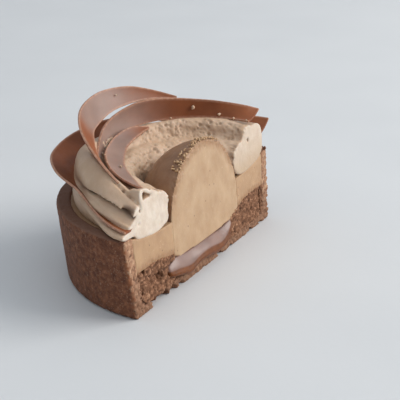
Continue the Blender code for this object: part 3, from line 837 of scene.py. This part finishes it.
# %% The ribbons of cream
# Stations along each ribbon: degrees, radius, height, half width, half height and, if it
# leans, how much it rises for each millimetre outwards.
RIBBONS = {
    "bed": ((0, 26.0, 21.2, 8.6, 4.4), (90, 25.6, 21.4, 8.2, 4.6), (150, 25.4, 21.2, 7.6, 4.4),
            (180, 24.6, 20.6, 8.0, 3.4)),
    "core": ((0, 27.0, 24.0, 4.4, 4.0), (90, 26.8, 24.8, 4.0, 4.4), (130, 28.6, 25.5, 3.0, 4.5),
             (160, 28.8, 24.0, 2.8, 3.0), (180, 26.0, 21.6, 4.0, 2.4)),
    "inner": ((0, 23.6, 21.6, 6.2, 4.5), (60, 22.8, 22.4, 5.6, 4.7), (120, 22.6, 23.0, 5.2, 4.6),
              (160, 22.0, 22.9, 5.6, 4.4), (172, 22.4, 22.4, 5.8, 4.4), (180, 22.6, 22.2, 5.9, 4.4)),
    "ledge": ((160, 24.4, 24.6, 3.4, 1.4), (170, 25.0, 25.2, 3.4, 1.5), (180, 25.2, 25.6, 3.4, 1.5)),
    "bridge": ((164, 23.4, 26.6, 2.4, 0.6, 0.4), (170, 24.4, 27.2, 3.2, 0.6, 0.4),
               (175, 24.6, 27.9, 3.6, 0.6, 0.4), (180, 24.5, 28.2, 3.7, 0.6, 0.4)),
    "funnel": ((0, 27.0, 25.0, 3.4, 4.2), (20, 27.0, 27.0, 2.6, 3.9), (60, 26.6, 27.2, 2.2, 3.9),
               (95, 25.8, 26.4, 2.2, 3.6), (118, 24.8, 25.2, 2.0, 2.8), (126, 24.6, 24.0, 1.0, 1.0)),
    "foot": ((0, 30.8, 22.6, 4.6, 3.0), (90, 29.2, 22.4, 4.4, 2.7), (145, 28.9, 22.2, 4.1, 2.2),
             (155, 29.2, 21.8, 4.4, 1.8), (164, 30.0, 21.2, 4.9, 1.4), (172, 31.4, 20.9, 5.7, 1.1),
             (180, 32.0, 20.8, 6.0, 1.0)),
    "middle": ((0, 30.2, 24.4, 5.2, 3.0), (110, 29.2, 25.2, 4.4, 2.0), (150, 29.4, 25.2, 4.4, 1.5),
               (158, 29.5, 24.5, 4.4, 1.6), (165, 29.6, 23.7, 4.5, 1.6), (172, 29.9, 22.9, 4.5, 1.6),
               (177, 30.2, 22.1, 4.6, 1.5), (179, 30.2, 21.8, 4.0, 1.2)),
    "lip_low": ((100, 28.6, 26.6, 4.0, 1.2), (137, 28.8, 26.6, 4.1, 0.5), (153, 28.9, 26.0, 4.1, 0.45),
                (163, 28.9, 25.2, 4.0, 0.5), (172, 28.6, 23.9, 3.9, 0.6), (176, 28.4, 23.0, 3.8, 0.6)),
    "lip_high": ((100, 28.8, 27.6, 4.0, 1.4), (137, 28.8, 27.6, 3.9, 0.5), (153, 28.9, 27.0, 3.8, 0.45),
                 (163, 28.9, 26.2, 3.8, 0.5), (172, 28.8, 24.8, 3.7, 0.6), (176, 28.6, 23.8, 3.7, 0.6)),
    "crown": ((0, 30.4, 25.6, 4.9, 3.3, 0), (50, 29.4, 26.4, 4.5, 3.5, 0),
              (95, 28.6, 27.4, 3.9, 3.6, 0), (125, 29.4, 29.4, 3.0, 3.4, -0.3),
              (141, 30.6, 30.4, 2.2, 2.5, -0.8), (150, 30.8, 29.8, 2.2, 2.2, -1.1),
              (158, 30.8, 28.7, 2.4, 1.8, -0.9), (166, 30.8, 27.3, 2.8, 1.5, -0.7),
              (172, 30.8, 26.0, 2.9, 1.4, -0.6), (175, 31.0, 25.2, 2.5, 1.2, -0.5),
              (176.5, 31.1, 24.8, 1.4, 0.7, -0.5)),
    "pillar": ((158, 27.4, 24.8, 0.9, 1.4), (164, 28.0, 25.3, 0.9, 1.6), (168, 28.3, 26.2, 0.8, 2.0),
               (172, 28.4, 26.9, 0.8, 2.4), (180, 28.5, 27.3, 0.8, 2.6)),
}
print("the cream has", len(RIBBONS), "ribbons")

# %% Rings along a ribbon
RIBBON_STEP, RIBBON_AROUND, RUN_OUT = 2.0, 40, 6.0
OVAL_SIDE, OVAL_TOP = 0.9, 0.85


def oval(way, power):
    """A sine or cosine drawn out, so that the oval is a little square."""
    return math.copysign(abs(way) ** power, way)


def around(angle, section):
    """A section of (radius, height) points, stood up at this place round the ring."""
    turn = math.radians(angle)
    return [(r * math.cos(turn), r * math.sin(turn), z) for r, z in section]


def cream_floor(radius):
    """The cream lies on the filling and, further out, on the rim."""
    rim = inner_radius(SHELL_HEIGHT)
    step = min(1.0, max(0.0, radius - rim + 1.0))
    return (filling_top(radius) - 0.4) * (1 - step) + (SHELL_HEIGHT + 0.05) * step


def ribbon_rings(stations):
    """Flattened oval rings along one ribbon. An end near the cut runs out through it."""
    stations = [(*row, 0.0)[:6] for row in stations]
    start, end = stations[0][0], stations[-1][0]
    start, end = (-RUN_OUT if start == 0 else start), (180 + RUN_OUT if end >= 175 else end)
    rings = []
    count = round((end - start) / RIBBON_STEP)
    for k in range(count + 1):
        angle = start + (end - start) * k / count
        r, z, half_r, half_z, lean = smooth_values(stations, angle)
        section = []
        for n in range(RIBBON_AROUND):
            way = 2 * math.pi * n / RIBBON_AROUND
            radius = r + half_r * oval(math.cos(way), OVAL_SIDE)
            height = z + lean * (radius - r) + half_z * oval(math.sin(way), OVAL_TOP)
            section.append((radius, max(height, cream_floor(radius))))
        rings.append(around(angle, section))
    return rings


def join(name, pieces):
    """Several objects as one mesh object."""
    mesh = bmesh.new()
    for piece in pieces:
        mesh.from_mesh(piece.data)
        bpy.data.objects.remove(piece)
    data = bpy.data.meshes.new(name)
    mesh.to_mesh(data)
    mesh.free()
    data.shade_smooth()
    obj = bpy.data.objects.new(name, data)
    bpy.context.scene.collection.objects.link(obj)
    return obj


# %% [markdown]
# The chocolate curls were pushed into the cream while it was soft, and the long one keeps a gap
# open beside the inner one. So the curls' edges are needed here already: each is a line through
# a few stations, and the gap is a trough between two of these lines that is cut from the cream.

# %% The two edges of each curl
# Stations along each edge: degrees, radius and height.
CURLS = {
    "curl_tall": (
        ((43, 30.6, 36.6), (56, 30.5, 39.2), (70, 30.5, 41.4), (87, 31.0, 42.1), (99, 31.0, 41.8),
         (124, 30.8, 40.5), (142, 30.9, 38.1), (154, 30.0, 34.1), (164.5, 29.0, 30.2)),
        ((43, 30.4, 35.9), (60, 29.3, 37.0), (84, 28.3, 36.9), (103, 28.0, 35.6), (125, 27.4, 35.4),
         (142, 27.6, 32.7), (155, 27.5, 30.6), (164.5, 28.1, 29.3)),
    ),
    "curl_outer_left": (
        ((64, 34.6, 31.2), (75, 35.8, 31.9), (90, 37.3, 31.3), (111, 38.1, 30.7), (126, 38.2, 30.6),
         (136, 37.3, 29.3), (148, 34.9, 27.4), (157, 34.3, 24.6), (167, 35.3, 23.0), (176, 36.4, 22.2),
         (185, 37.0, 21.9)),
        ((64, 34.2, 30.7), (75, 33.3, 28.4), (90, 32.0, 26.9), (120, 31.6, 26.3), (145, 31.0, 24.6),
         (157, 31.4, 22.9), (167, 31.9, 22.2), (185, 33.2, 22.0)),
    ),
    "curl_long": (
        ((-6, 35.6, 31.7), (2, 34.4, 32.2), (8, 32.2, 33.5), (20, 30.0, 35.0), (34, 29.2, 35.9),
         (43, 28.8, 36.5), (58, 28.4, 37.2), (68, 28.1, 37.2), (76, 28.1, 36.6), (88, 28.1, 35.4),
         (98, 27.9, 33.9), (107, 27.4, 32.1), (117, 26.9, 31.1), (131, 26.7, 30.5), (147, 27.0, 29.5),
         (163, 27.6, 28.0), (171, 27.8, 27.0)),
        ((-6, 26.6, 30.5), (5, 27.4, 30.5), (25, 28.0, 30.7), (58, 28.0, 31.0), (82, 27.4, 30.4),
         (98, 26.5, 29.1), (110, 25.7, 28.2), (131, 25.0, 27.6), (147, 24.8, 27.2), (163, 24.8, 26.4),
         (171, 25.0, 26.0)),
    ),
    "curl_inner": (
        ((66, 24.8, 31.2), (78, 25.6, 31.9), (91, 25.8, 31.3), (108, 25.2, 30.6), (125, 24.9, 30.7),
         (145, 25.0, 29.6), (158, 24.9, 28.9), (173, 24.8, 28.2)),
        ((66, 24.3, 30.6), (80, 22.5, 30.1), (95, 21.5, 29.4), (114, 20.3, 28.4), (133, 20.2, 28.2),
         (151, 20.2, 27.1), (158, 21.0, 27.2), (166, 22.6, 27.5), (173, 24.1, 27.8)),
    ),
    "curl_outer_right": (
        ((-6, 40.1, 27.9), (8, 39.8, 28.3), (25, 38.2, 29.3), (42, 36.6, 29.9), (58, 35.2, 30.4)),
        ((-6, 32.9, 24.6), (8, 33.0, 25.2), (25, 32.8, 26.6), (42, 33.4, 28.4), (58, 34.8, 29.9)),
    ),
}


print("there are", len(CURLS), "curls")


# %% The gap beside the long curl
TROUGH_START, TROUGH_END, TROUGH_STEP, TROUGH_HEIGHT = 78, 166, 2, 12.0


def edge_point(stations, angle):
    """The radius and height of one edge of a curl."""
    return np.array(smooth_values(stations, angle))


def trough():
    """The room that the long curl keeps open beside the inner one."""
    (outer, inner), (rim, _) = CURLS["curl_long"], CURLS["curl_inner"]
    rings = []
    for angle in range(TROUGH_START, TROUGH_END + 1, TROUGH_STEP):
        high, low, edge = edge_point(outer, angle), edge_point(inner, angle), edge_point(rim, angle)
        section = [low + (-0.35, -0.2), high + (0.35, -0.2), high + (0.6, TROUGH_HEIGHT)]
        section += [edge + (-0.2, TROUGH_HEIGHT), edge + (-0.5, -0.9)]
        rings.append(around(angle, section))
    return lofted("trough", rings)


# %% [markdown]
# Where one ribbon stands off the next, a dark fold opens between them. It is narrower than the
# remesh can keep, so each fold is cut open again afterwards by a thin wedge that follows it.

# %% The folds between the ribbons
# Stations along each fold: degrees, radius, height, half width, depth and the slope outwards
# in degrees.
FOLDS = {
    "outer_fold": ((136, 32.6, 26.9, 0.15, 0.8, -15), (150, 33.0, 27.2, 0.45, 2.4, -12),
                   (158, 33.0, 27.0, 0.60, 3.0, -12), (165, 33.0, 26.2, 0.80, 3.6, -15),
                   (170, 33.0, 25.3, 0.95, 3.8, -15), (174, 33.0, 24.4, 0.85, 3.4, -15),
                   (180, 32.8, 23.3, 0.40, 2.2, -15)),
    "upper_fold": ((160, 29.2, 30.4, 0.15, 1.5, 70), (166, 29.2, 29.1, 0.35, 2.2, 65),
                   (170, 29.3, 28.3, 0.40, 2.6, 60), (174, 29.4, 27.3, 0.40, 2.8, 58),
                   (178, 29.3, 25.8, 0.35, 2.8, 55), (183, 29.2, 24.6, 0.35, 2.8, 55)),
}
FOLD_REACH = 1.4


def fold_rings(stations):
    """A wedge that opens outwards from the bottom of a fold."""
    rings = []
    for angle in np.arange(stations[0][0], stations[-1][0] + 0.1, 1.0):
        r, z, half, depth, slope = smooth_values(stations, angle)
        out = np.array((math.cos(math.radians(slope)), math.sin(math.radians(slope))))
        side = np.array((-out[1], out[0])) * half * (1 + FOLD_REACH / depth)
        bottom, mouth = np.array((r, z)) - depth * out, np.array((r, z)) + FOLD_REACH * out
        rings.append(around(angle, [bottom, mouth - side, mouth + side]))
    return rings


print("the deepest fold is", max(row[4] for rows in FOLDS.values() for row in rows), "mm")


# %% Melting the ribbons together, and cutting them
CREAM_CELL, CREAM_SOFTENING = 0.33, 2
MOULD_GAP, MOULD_FLOOR = 0.15, 2.0
cream = join("piped_cream", [lofted(name, ribbon_rings(rows)) for name, rows in RIBBONS.items()])
knife = knife_block()
mould_side = [(r + MOULD_GAP, z) for r, z in [(DOME_RADIUS, MOULD_FLOOR)] + cap[:0:-1]]
mould_outline = [(0.0, MOULD_FLOOR)] + mould_side + [(0.0, DOME_HEIGHT + MOULD_GAP)]
mould = turned("mould", mould_outline, DOME_X)
remesh(cream, CREAM_CELL)
mouth = [(-27.6, -2.0, 29.2), (-21.6, -2.0, 26.2), (-27.6, -2.0, 27.2)]
end_hollow = lofted("end_hollow", [mouth, [(-27.0, 4.6, 28.6), (-24.4, 4.6, 27.0), (-27.0, 4.6, 27.0)]])
tools = [mould, knife, trough(), end_hollow]
tools += [lofted(name, fold_rings(rows)) for name, rows in FOLDS.items()]
for tool in tools:
    cut(cream, tool)
# The middle of each air hole behind the knife's face, half its width, depth and height, and
# its lean in degrees.
HOLLOWS = ((-31.9, 2.6, 25.6, 0.7, 1.6, 1.3, 10), (-30.4, 0.3, 21.9, 0.7, 1.0, 0.5, 35),
           (-16.7, 0.4, 20.9, 0.5, 0.8, 0.6, 0), (-20.8, 0.6, 22.6, 0.3, 0.8, 0.3, 0),
           (26.4, 1.0, 25.6, 0.4, 0.8, 0.6, 0))
for x, y, z, wide, deep, tall, lean in HOLLOWS:
    tools.append(ball("hollow", (x, y + knife_y(z) - 0.7, z), (wide, deep, tall), math.radians(lean)))
    cut(cream, tools[-1])
remesh(cream, CREAM_CELL)
soften(cream, CREAM_SOFTENING)
apply_steps(cream, *tools)
print("the cream took", len(tools), "cuts")

# %% Porous inside, smooth outside
spots, normals = places(cream)
radius = radius_of(spots)
inward = ease(facing_axis(spots, normals), -0.2, 0.5)
torn = inward * ease(28.5 - radius, 0.0, 1.5) * ease(spots[:, 2], 17.5, 19.0)
face = on_cut(spots, normals, 0.8)
pores = (pits(spots, 1.5, 0.20) + 0.6 * pits(spots + 31.0, 0.9, 0.12)) * torn
relief = torn * (0.40 * grain(spots, 3.0) + 0.20 * grain(spots, 1.1, 6.0) - 0.60 * pores)
relief += (1 - torn) * (1 - 0.7 * face) * (0.09 * grain(spots, 2.8) + 0.02 * grain(spots, 0.9))
move_points(cream, spots + normals * relief[:, None])
print("cream points:", len(spots))

# %% Where the cream is deep in a fold, porous, cut or warm
FOLD_START = 8.0
angles = degrees_of(spots)
deep = np.zeros(len(spots))
for rows in FOLDS.values():
    table = np.array(rows).T
    r, z, fold_depth, slope = (np.interp(angles, table[0], table[n]) for n in (1, 2, 4, 5))
    inset, tilt = fold_depth * 0.8, np.radians(slope)
    away = np.hypot(radius - r + inset * np.cos(tilt), spots[:, 2] - z + inset * np.sin(tilt))
    inside = ease(angles, table[0, 0], table[0, 0] + FOLD_START) * (angles < table[0, -1] + 2)
    deep = np.maximum(deep, (1 - ease(away, 0.6, 2.3)) * inside * ease(fold_depth, 0.8, 2.5))
# Painted shade: pores and deep folds are stored so that the material paints them darker.
store(cream, "crease_and_pore_shade", pores)
store(cream, "painted_fold_shade", deep * (1 - face))
store(cream, "cut", face)
store(cream, "warm", ease(spots[:, 0], 5.0, 15.0) * (1 - 0.65 * ease(spots[:, 2], 18.0, 26.0)))
print("points deep in a fold:", int((deep > 0.5).sum()))

# %% [markdown]
# Cream colour: very pale coffee, whitest on the knife's face at the left, with painted shade
# that makes the pores browner and the deep folds darkest. Whipped cream lets light in, so a
# little subsurface scattering softens the shade between the ribbons.

# %% The cream material
def cream_material():
    material, tree, shader = start_material("whipped_cream", 0.5, 0.4)
    shader.inputs["Subsurface Weight"].default_value = 0.25
    shader.inputs["Subsurface Radius"].default_value = (0.0025, 0.0016, 0.0010)
    body = mottled(tree, 6.0, 4.0, 0.55, (0.32, (0.520, 0.350, 0.230)), (0.68, (0.620, 0.445, 0.315)))
    body = blend(tree, flecks_at(tree, 0.7, 0.60, 0.80, 0.25), body, (0.470, 0.320, 0.210))
    # Painted shade: the pores are painted browner and the deep folds nearly black.
    pores = span(tree, stored(tree, "crease_and_pore_shade"), 0.0, 1.0, 0.0, 0.45)
    body = blend(tree, pores, body, (0.330, 0.215, 0.140))
    fold_shade = span(tree, stored(tree, "painted_fold_shade"), 0.0, 1.0, 0.0, 0.95)
    body = blend(tree, fold_shade, body, (0.110, 0.055, 0.032))
    white = mottled(tree, 2.0, 3.0, 0.5, (0.35, (0.620, 0.505, 0.405)), (0.65, (0.700, 0.600, 0.500)))
    white = blend(tree, stored(tree, "warm"), white, (0.500, 0.365, 0.250))
    paint(tree, shader, blend(tree, stored(tree, "cut"), body, white))
    add_bump(tree, shader, noise_at(tree, 0.6, 3.0, 0.6), 0.07)
    add_bump(tree, shader, noise_at(tree, 2.2, 3.0, 0.5), 0.06)
    return material


dress(cream, cream_material(), "whipped_cream", "cream")

# %% [markdown]
# ## The chocolate curls
# Five thin bands of tempered milk chocolate are laid round the ring. Each is under a millimetre
# thick, bends smoothly and has clean cut edges, painted paler than its faces as a painted
# highlight. The two edges of a band are given at stations along the ring, as on the solid, and
# rows of points run between them with a slight hollow. A thickness and a small bevel finish it.
# A cloth simulation would sag, and tempered chocolate is stiff.

# %% A thin band between two edges
CURL_THICKNESS, CURL_BEVEL, CURL_HOLLOW, CURL_STEP, CURL_ROWS = 0.5, 0.12, 0.06, 1.0, 14


def curl_sheet(name, outer, inner):
    """A sheet without thickness, slightly hollow between its edges."""
    start, end = outer[0][0], outer[-1][0]
    count = round((end - start) / CURL_STEP)
    points, faces = [], []
    for k in range(count + 1):
        angle = start + (end - start) * k / count
        high, low = edge_point(outer, angle), edge_point(inner, angle)
        hollow = CURL_HOLLOW * np.array((high - low)[::-1]) * (1, -1)
        shares = [n / CURL_ROWS for n in range(CURL_ROWS + 1)]
        points += around(angle, [low + (high - low) * t + hollow * 4 * t * (1 - t) for t in shares])
    for k in range(count):
        for n in range(CURL_ROWS):
            here = k * (CURL_ROWS + 1) + n
            faces.append((here, here + 1, here + CURL_ROWS + 2, here + CURL_ROWS + 1))
    return make_body(name, points, faces)


def make_curl(name, outer, inner):
    """The sheet made thick, cut by the knife and bevelled."""
    curl = curl_sheet(name, outer, inner)
    thick = curl.modifiers.new("thickness", "SOLIDIFY")
    thick.thickness = CURL_THICKNESS * MM
    thick.offset = 0.0
    knife = knife_block()
    cut(curl, knife, "EXACT")
    bevel = curl.modifiers.new("bevel", "BEVEL")
    bevel.width = CURL_BEVEL * MM
    bevel.segments = 2
    bevel.limit_method = "ANGLE"
    return apply_steps(curl, knife)


# %% Where the painted edge highlight and the painted sheen lie
EDGE_HIGHLIGHT_FADE = (0.25, 0.6)
# Degrees at which the painted sheen starts, is full, starts to fade and is gone.
PAINTED_SHEEN_ZONES = {"curl_tall": (50, 98, 110, 130), "curl_long": (40, 88, 150, 165), "curl_inner": (66, 92, 160, 174)}


def mark_curl(curl, name, outer, inner):
    """Stores how near each point is to a cut edge, for a painted highlight, and where the face gets a
    painted sheen.
    """
    spots, normals = places(curl)
    angles, start, end = degrees_of(spots), outer[0][0], outer[-1][0]
    near = []
    for place, angle in zip(np.stack((radius_of(spots), spots[:, 2]), 1), angles):
        ways = [np.hypot(*(place - edge_point(rail, angle))) for rail in (outer, inner)]
        near.append(min(ways + [(angle - start) * 0.5, (end - angle) * 0.5]))
    # The edge number places a painted highlight along the cut edges.
    store(curl, "edge", 1 - ease(np.array(near), *EDGE_HIGHLIGHT_FADE))
    painted_sheen = np.zeros(len(spots))
    if name in PAINTED_SHEEN_ZONES:
        first, full, fading, gone = PAINTED_SHEEN_ZONES[name]
        painted_sheen = ease(facing_axis(spots, normals), 0.0, 0.2)
        painted_sheen = painted_sheen * ease(angles, first, full) * (1 - ease(angles, fading, gone))
    store(curl, "painted_sheen", painted_sheen)


# %% [markdown]
# Milk chocolate finish: smooth and satin, a deep red brown, with a painted highlight as a paler
# colour along the cut edges. The inner faces on the left get a painted sheen, a paler greyish
# pink that stands in for the reflection of the bright room. A number stored on the mesh says
# where the painted sheen lies, which keeps it on the real faces from any side.

# %% The milk chocolate material
def milk_chocolate_material():
    material, tree, shader = start_material("milk_chocolate", 0.42, 0.45)
    shader.inputs["Subsurface Weight"].default_value = 0.15
    shader.inputs["Subsurface Radius"].default_value = (0.0012, 0.0004, 0.0002)
    face = mottled(tree, 7.0, 3.0, 0.5, (0.32, (0.195, 0.058, 0.020)), (0.68, (0.270, 0.084, 0.030)))
    # Painted sheen: a paler greyish pink that stands in for the reflection of the bright room on the inner
    # faces.
    sheen_tint = mottled(tree, 5.0, 3.0, 0.5, (0.32, (0.255, 0.158, 0.124)), (0.68, (0.315, 0.200, 0.160)))
    painted_sheen = stored(tree, "painted_sheen")
    face = blend(tree, painted_sheen, face, sheen_tint)
    tree.links.new(span(tree, painted_sheen, 0.0, 1.0, 0.22, 0.50), shader.inputs["Specular IOR Level"])
    # Painted highlight: the cut edges are painted paler.
    edge = mottled(tree, 0.8, 2.0, 0.5, (0.35, (0.360, 0.175, 0.110)), (0.65, (0.500, 0.280, 0.190)))
    paint(tree, shader, blend(tree, stored(tree, "edge"), face, edge))
    dullness = span(tree, noise_at(tree, 2.5, 3.0, 0.6), 0.3, 0.7, 0.38, 0.50)
    tree.links.new(dullness, shader.inputs["Roughness"])
    add_bump(tree, shader, noise_at(tree, 1.8, 3.0, 0.5), 0.03)
    return material


chocolate = milk_chocolate_material()
for name, (outer, inner) in CURLS.items():
    curl = make_curl(name + "_band", outer, inner)
    mark_curl(curl, name, outer, inner)
    dress(curl, chocolate, "milk_chocolate", name)

# %% [markdown]
# ## Crumbs and flakes
# The knife has thrown a few crumbs about: pale bits of cream on the chocolate, and copper
# flakes where it tore the dome's skin. They lie just where they can be seen to touch the piece
# that carries them. Each kind is one joined mesh of small lumps, which is far lighter than a
# particle system and can't drift off the surface.

# %% Small lumps on a surface
LUMP_ROUGHNESS, LUMP_WAVES, LUMP_SHORT = 0.45, 1.4, 0.6
CRUMB_LONG, FLAKE_LONG = 1.15, 2.6


def lump(place, size, dice, longest):
    """One crumb: a ball pushed out of shape."""
    mesh = bmesh.new()
    bmesh.ops.create_icosphere(mesh, subdivisions=2, radius=1.0)
    shift, stretch = dice.uniform(0, 40, 3), size * dice.uniform(LUMP_SHORT, longest, 3)
    points = []
    for way in (np.array(v.co) for v in mesh.verts):
        swell = 1 + LUMP_ROUGHNESS * noise.noise(Vector(way * LUMP_WAVES + shift))
        points.append(way * swell * stretch)
    faces = [tuple(v.index for v in face.verts) for face in mesh.faces]
    mesh.free()
    return make_body("lump", np.array(points) + place, faces)


def crumbs(name, rows, dice):
    """Crumbs at (degrees, radius, height, half size), as one piece."""
    lumps = [lump(around(angle, [(r, z)])[0], size, dice, CRUMB_LONG) for angle, r, z, size in rows]
    return join(name, lumps)


# %% Cream crumbs on the chocolate
dice = np.random.default_rng(5)
CREAM_CRUMBS = ((35, 28.3, 33.7, 0.75), (20.5, 28.1, 31.8, 0.45), (80, 29.6, 40.2, 0.22),
                (135, 21.6, 29.0, 0.38), (125, 24.9, 30.9, 0.25), (135, 24.9, 30.5, 0.25),
                (60, 28.1, 31.2, 0.3), (48, 28.0, 31.3, 0.4), (12, 27.5, 31.0, 0.35),
                (4, 27.1, 30.9, 0.3))
dress(crumbs("cream_crumbs", CREAM_CRUMBS, dice), cream.data.materials[0], "whipped_cream")

# %% Crust crumbs on the ends of the rim
CRUST_CRUMBS = ((1.5, 36.6, 20.3, 0.60), (3.0, 37.3, 20.2, 0.45), (2.2, 35.6, 20.3, 0.40),
                (6.0, 36.9, 20.2, 0.50), (9.0, 37.4, 20.1, 0.35), (177.6, 37.2, 20.1, 0.35),
                (13.0, 37.0, 20.1, 0.40))
dress(crumbs("crust_crumbs", CRUST_CRUMBS, dice), crust.data.materials[0], "shortcrust")

# %% Copper flakes along the dome's torn edge
FLAKES, FLAKE_SPREAD, FLAKE_BACK, FLAKE_SIZES, FLAKE_LIFT = 130, (-44.0, 32.0), 2.4, (0.07, 0.20), 0.05
flakes = []
for _ in range(FLAKES):
    along = math.radians(dice.uniform(*FLAKE_SPREAD))
    back = dice.uniform(0.0, 1.0) ** 2 * FLAKE_BACK
    reach = math.sqrt(DOME_RADIUS**2 - back**2) + FLAKE_LIFT
    x, z = DOME_X + reach * math.sin(along), CAP_MIDDLE + reach * math.cos(along)
    place = np.array((x, back + knife_y(z), z))
    flakes.append(lump(place, dice.uniform(*FLAKE_SIZES), dice, FLAKE_LONG))
flakes = join("dome_flakes", flakes)
print("there are", FLAKES, "flakes")


# %% The flakes' finish
def flake_material():
    material, tree, shader = start_material("copper_flakes", 0.6, 0.4)
    tint = mottled(tree, 0.8, 2.0, 0.5, (0.35, (0.420, 0.225, 0.105)), (0.65, (0.640, 0.450, 0.270)))
    paint(tree, shader, tint)
    add_bump(tree, shader, noise_at(tree, 0.3, 2.0, 0.5), 0.05)
    return material


dress(flakes, flake_material(), "coffee_dome")

# %% [markdown]
# ## Floor, light and camera
# The tartlet stands on a plain pale floor that curves up far away on all sides, so no edge
# shows. The photograph is lit by one large soft window, in front of the cut and to the right,
# and the room fills the shadows. A big area light and a pale surrounding do the same here. The
# camera stands where it has to for the shell's cut corners to fall where they do in the
# photograph.

# %% The floor's shape
# Radius and height of the rows, from the middle outwards.
FLOOR_ROWS = ((0.0, 0.0), (200.0, 0.0), (700.0, 0.0), (1400.0, 60.0), (1900.0, 320.0),
              (2100.0, 800.0), (2150.0, 1600.0))
FLOOR_SIDES = 72


def floor_mesh(name):
    """A wide floor that sweeps up far away."""
    points, faces = [], []
    for r, z in FLOOR_ROWS:
        for n in range(FLOOR_SIDES):
            turn = 2 * math.pi * n / FLOOR_SIDES
            points.append((r * math.cos(turn), r * math.sin(turn), z))
    for k in range(len(FLOOR_ROWS) - 1):
        here, there = k * FLOOR_SIDES, (k + 1) * FLOOR_SIDES
        for n in range(FLOOR_SIDES):
            m = (n + 1) % FLOOR_SIDES
            faces.append((here + n, here + m, there + m, there + n))
    floor = make_body(name, points, faces)
    floor.data.flip_normals()
    floor.data.shade_smooth()
    return floor


# %% The floor's finish
floor = floor_mesh("floor")
material, tree, shader = start_material("pale_floor", 0.6, 0.3)
tint = mottled(tree, 60.0, 2.0, 0.5, (0.3, (0.635, 0.650, 0.665)), (0.7, (0.660, 0.674, 0.688)))
paint(tree, shader, tint)
add_bump(tree, shader, noise_at(tree, 1.5, 2.0, 0.5), 0.02)
floor.data.materials.append(material)
print("the floor is", 2 * FLOOR_ROWS[-1][0] * MM, "m wide")


# %% The lights
WINDOW_PLACE, WINDOW_AIM, WINDOW_SIZE, WINDOW_POWER = (0.47, -0.76, 0.50), (0.0, 0.0, 0.02), 0.80, 10.2
WINDOW_COLOUR, ROOM_COLOUR, ROOM_STRENGTH = (1.0, 0.97, 0.93), (0.90, 0.95, 1.0, 1.0), 0.78


def area_light(name, place, target, size, power, colour):
    """A square soft light that looks at a point."""
    data = bpy.data.lights.new(name, "AREA")
    data.size = size
    data.energy = power
    data.color = colour
    light = bpy.data.objects.new(name, data)
    light.location = place
    light.rotation_euler = (Vector(target) - Vector(place)).to_track_quat("-Z", "Y").to_euler()
    bpy.context.scene.collection.objects.link(light)


area_light("window", WINDOW_PLACE, WINDOW_AIM, WINDOW_SIZE, WINDOW_POWER, WINDOW_COLOUR)
world = bpy.data.worlds.new("room")
world.use_nodes = True
world.node_tree.nodes["Background"].inputs["Color"].default_value = ROOM_COLOUR
world.node_tree.nodes["Background"].inputs["Strength"].default_value = ROOM_STRENGTH
bpy.context.scene.world = world
print("the window is", WINDOW_SIZE, "m wide and gives", WINDOW_POWER, "W")

# %% The camera
CAMERA_PLACE = (-0.21824, -0.13489, 0.11434)
CAMERA_TURN, CAMERA_DOWN, CAMERA_ROLL = -61.08, 21.278, -0.8965
CAMERA_LENS, CAMERA_SENSOR, CAMERA_NEAR = 94.67, 36.0, 0.01
camera_data = bpy.data.cameras.new("camera")
camera_data.sensor_width = CAMERA_SENSOR
camera_data.lens = CAMERA_LENS
camera_data.clip_start = CAMERA_NEAR
camera = bpy.data.objects.new("camera", camera_data)
bpy.context.scene.collection.objects.link(camera)
turn = Matrix.Rotation(math.radians(CAMERA_TURN), 4, "Z")
down = Matrix.Rotation(math.radians(90 - CAMERA_DOWN), 4, "X")
roll = Matrix.Rotation(math.radians(CAMERA_ROLL), 4, "Z")
camera.matrix_world = Matrix.Translation(CAMERA_PLACE) @ turn @ down @ roll
bpy.context.scene.camera = camera
bpy.context.scene.view_settings.view_transform = "Standard"
print("the camera looks down by", CAMERA_DOWN, "degrees")
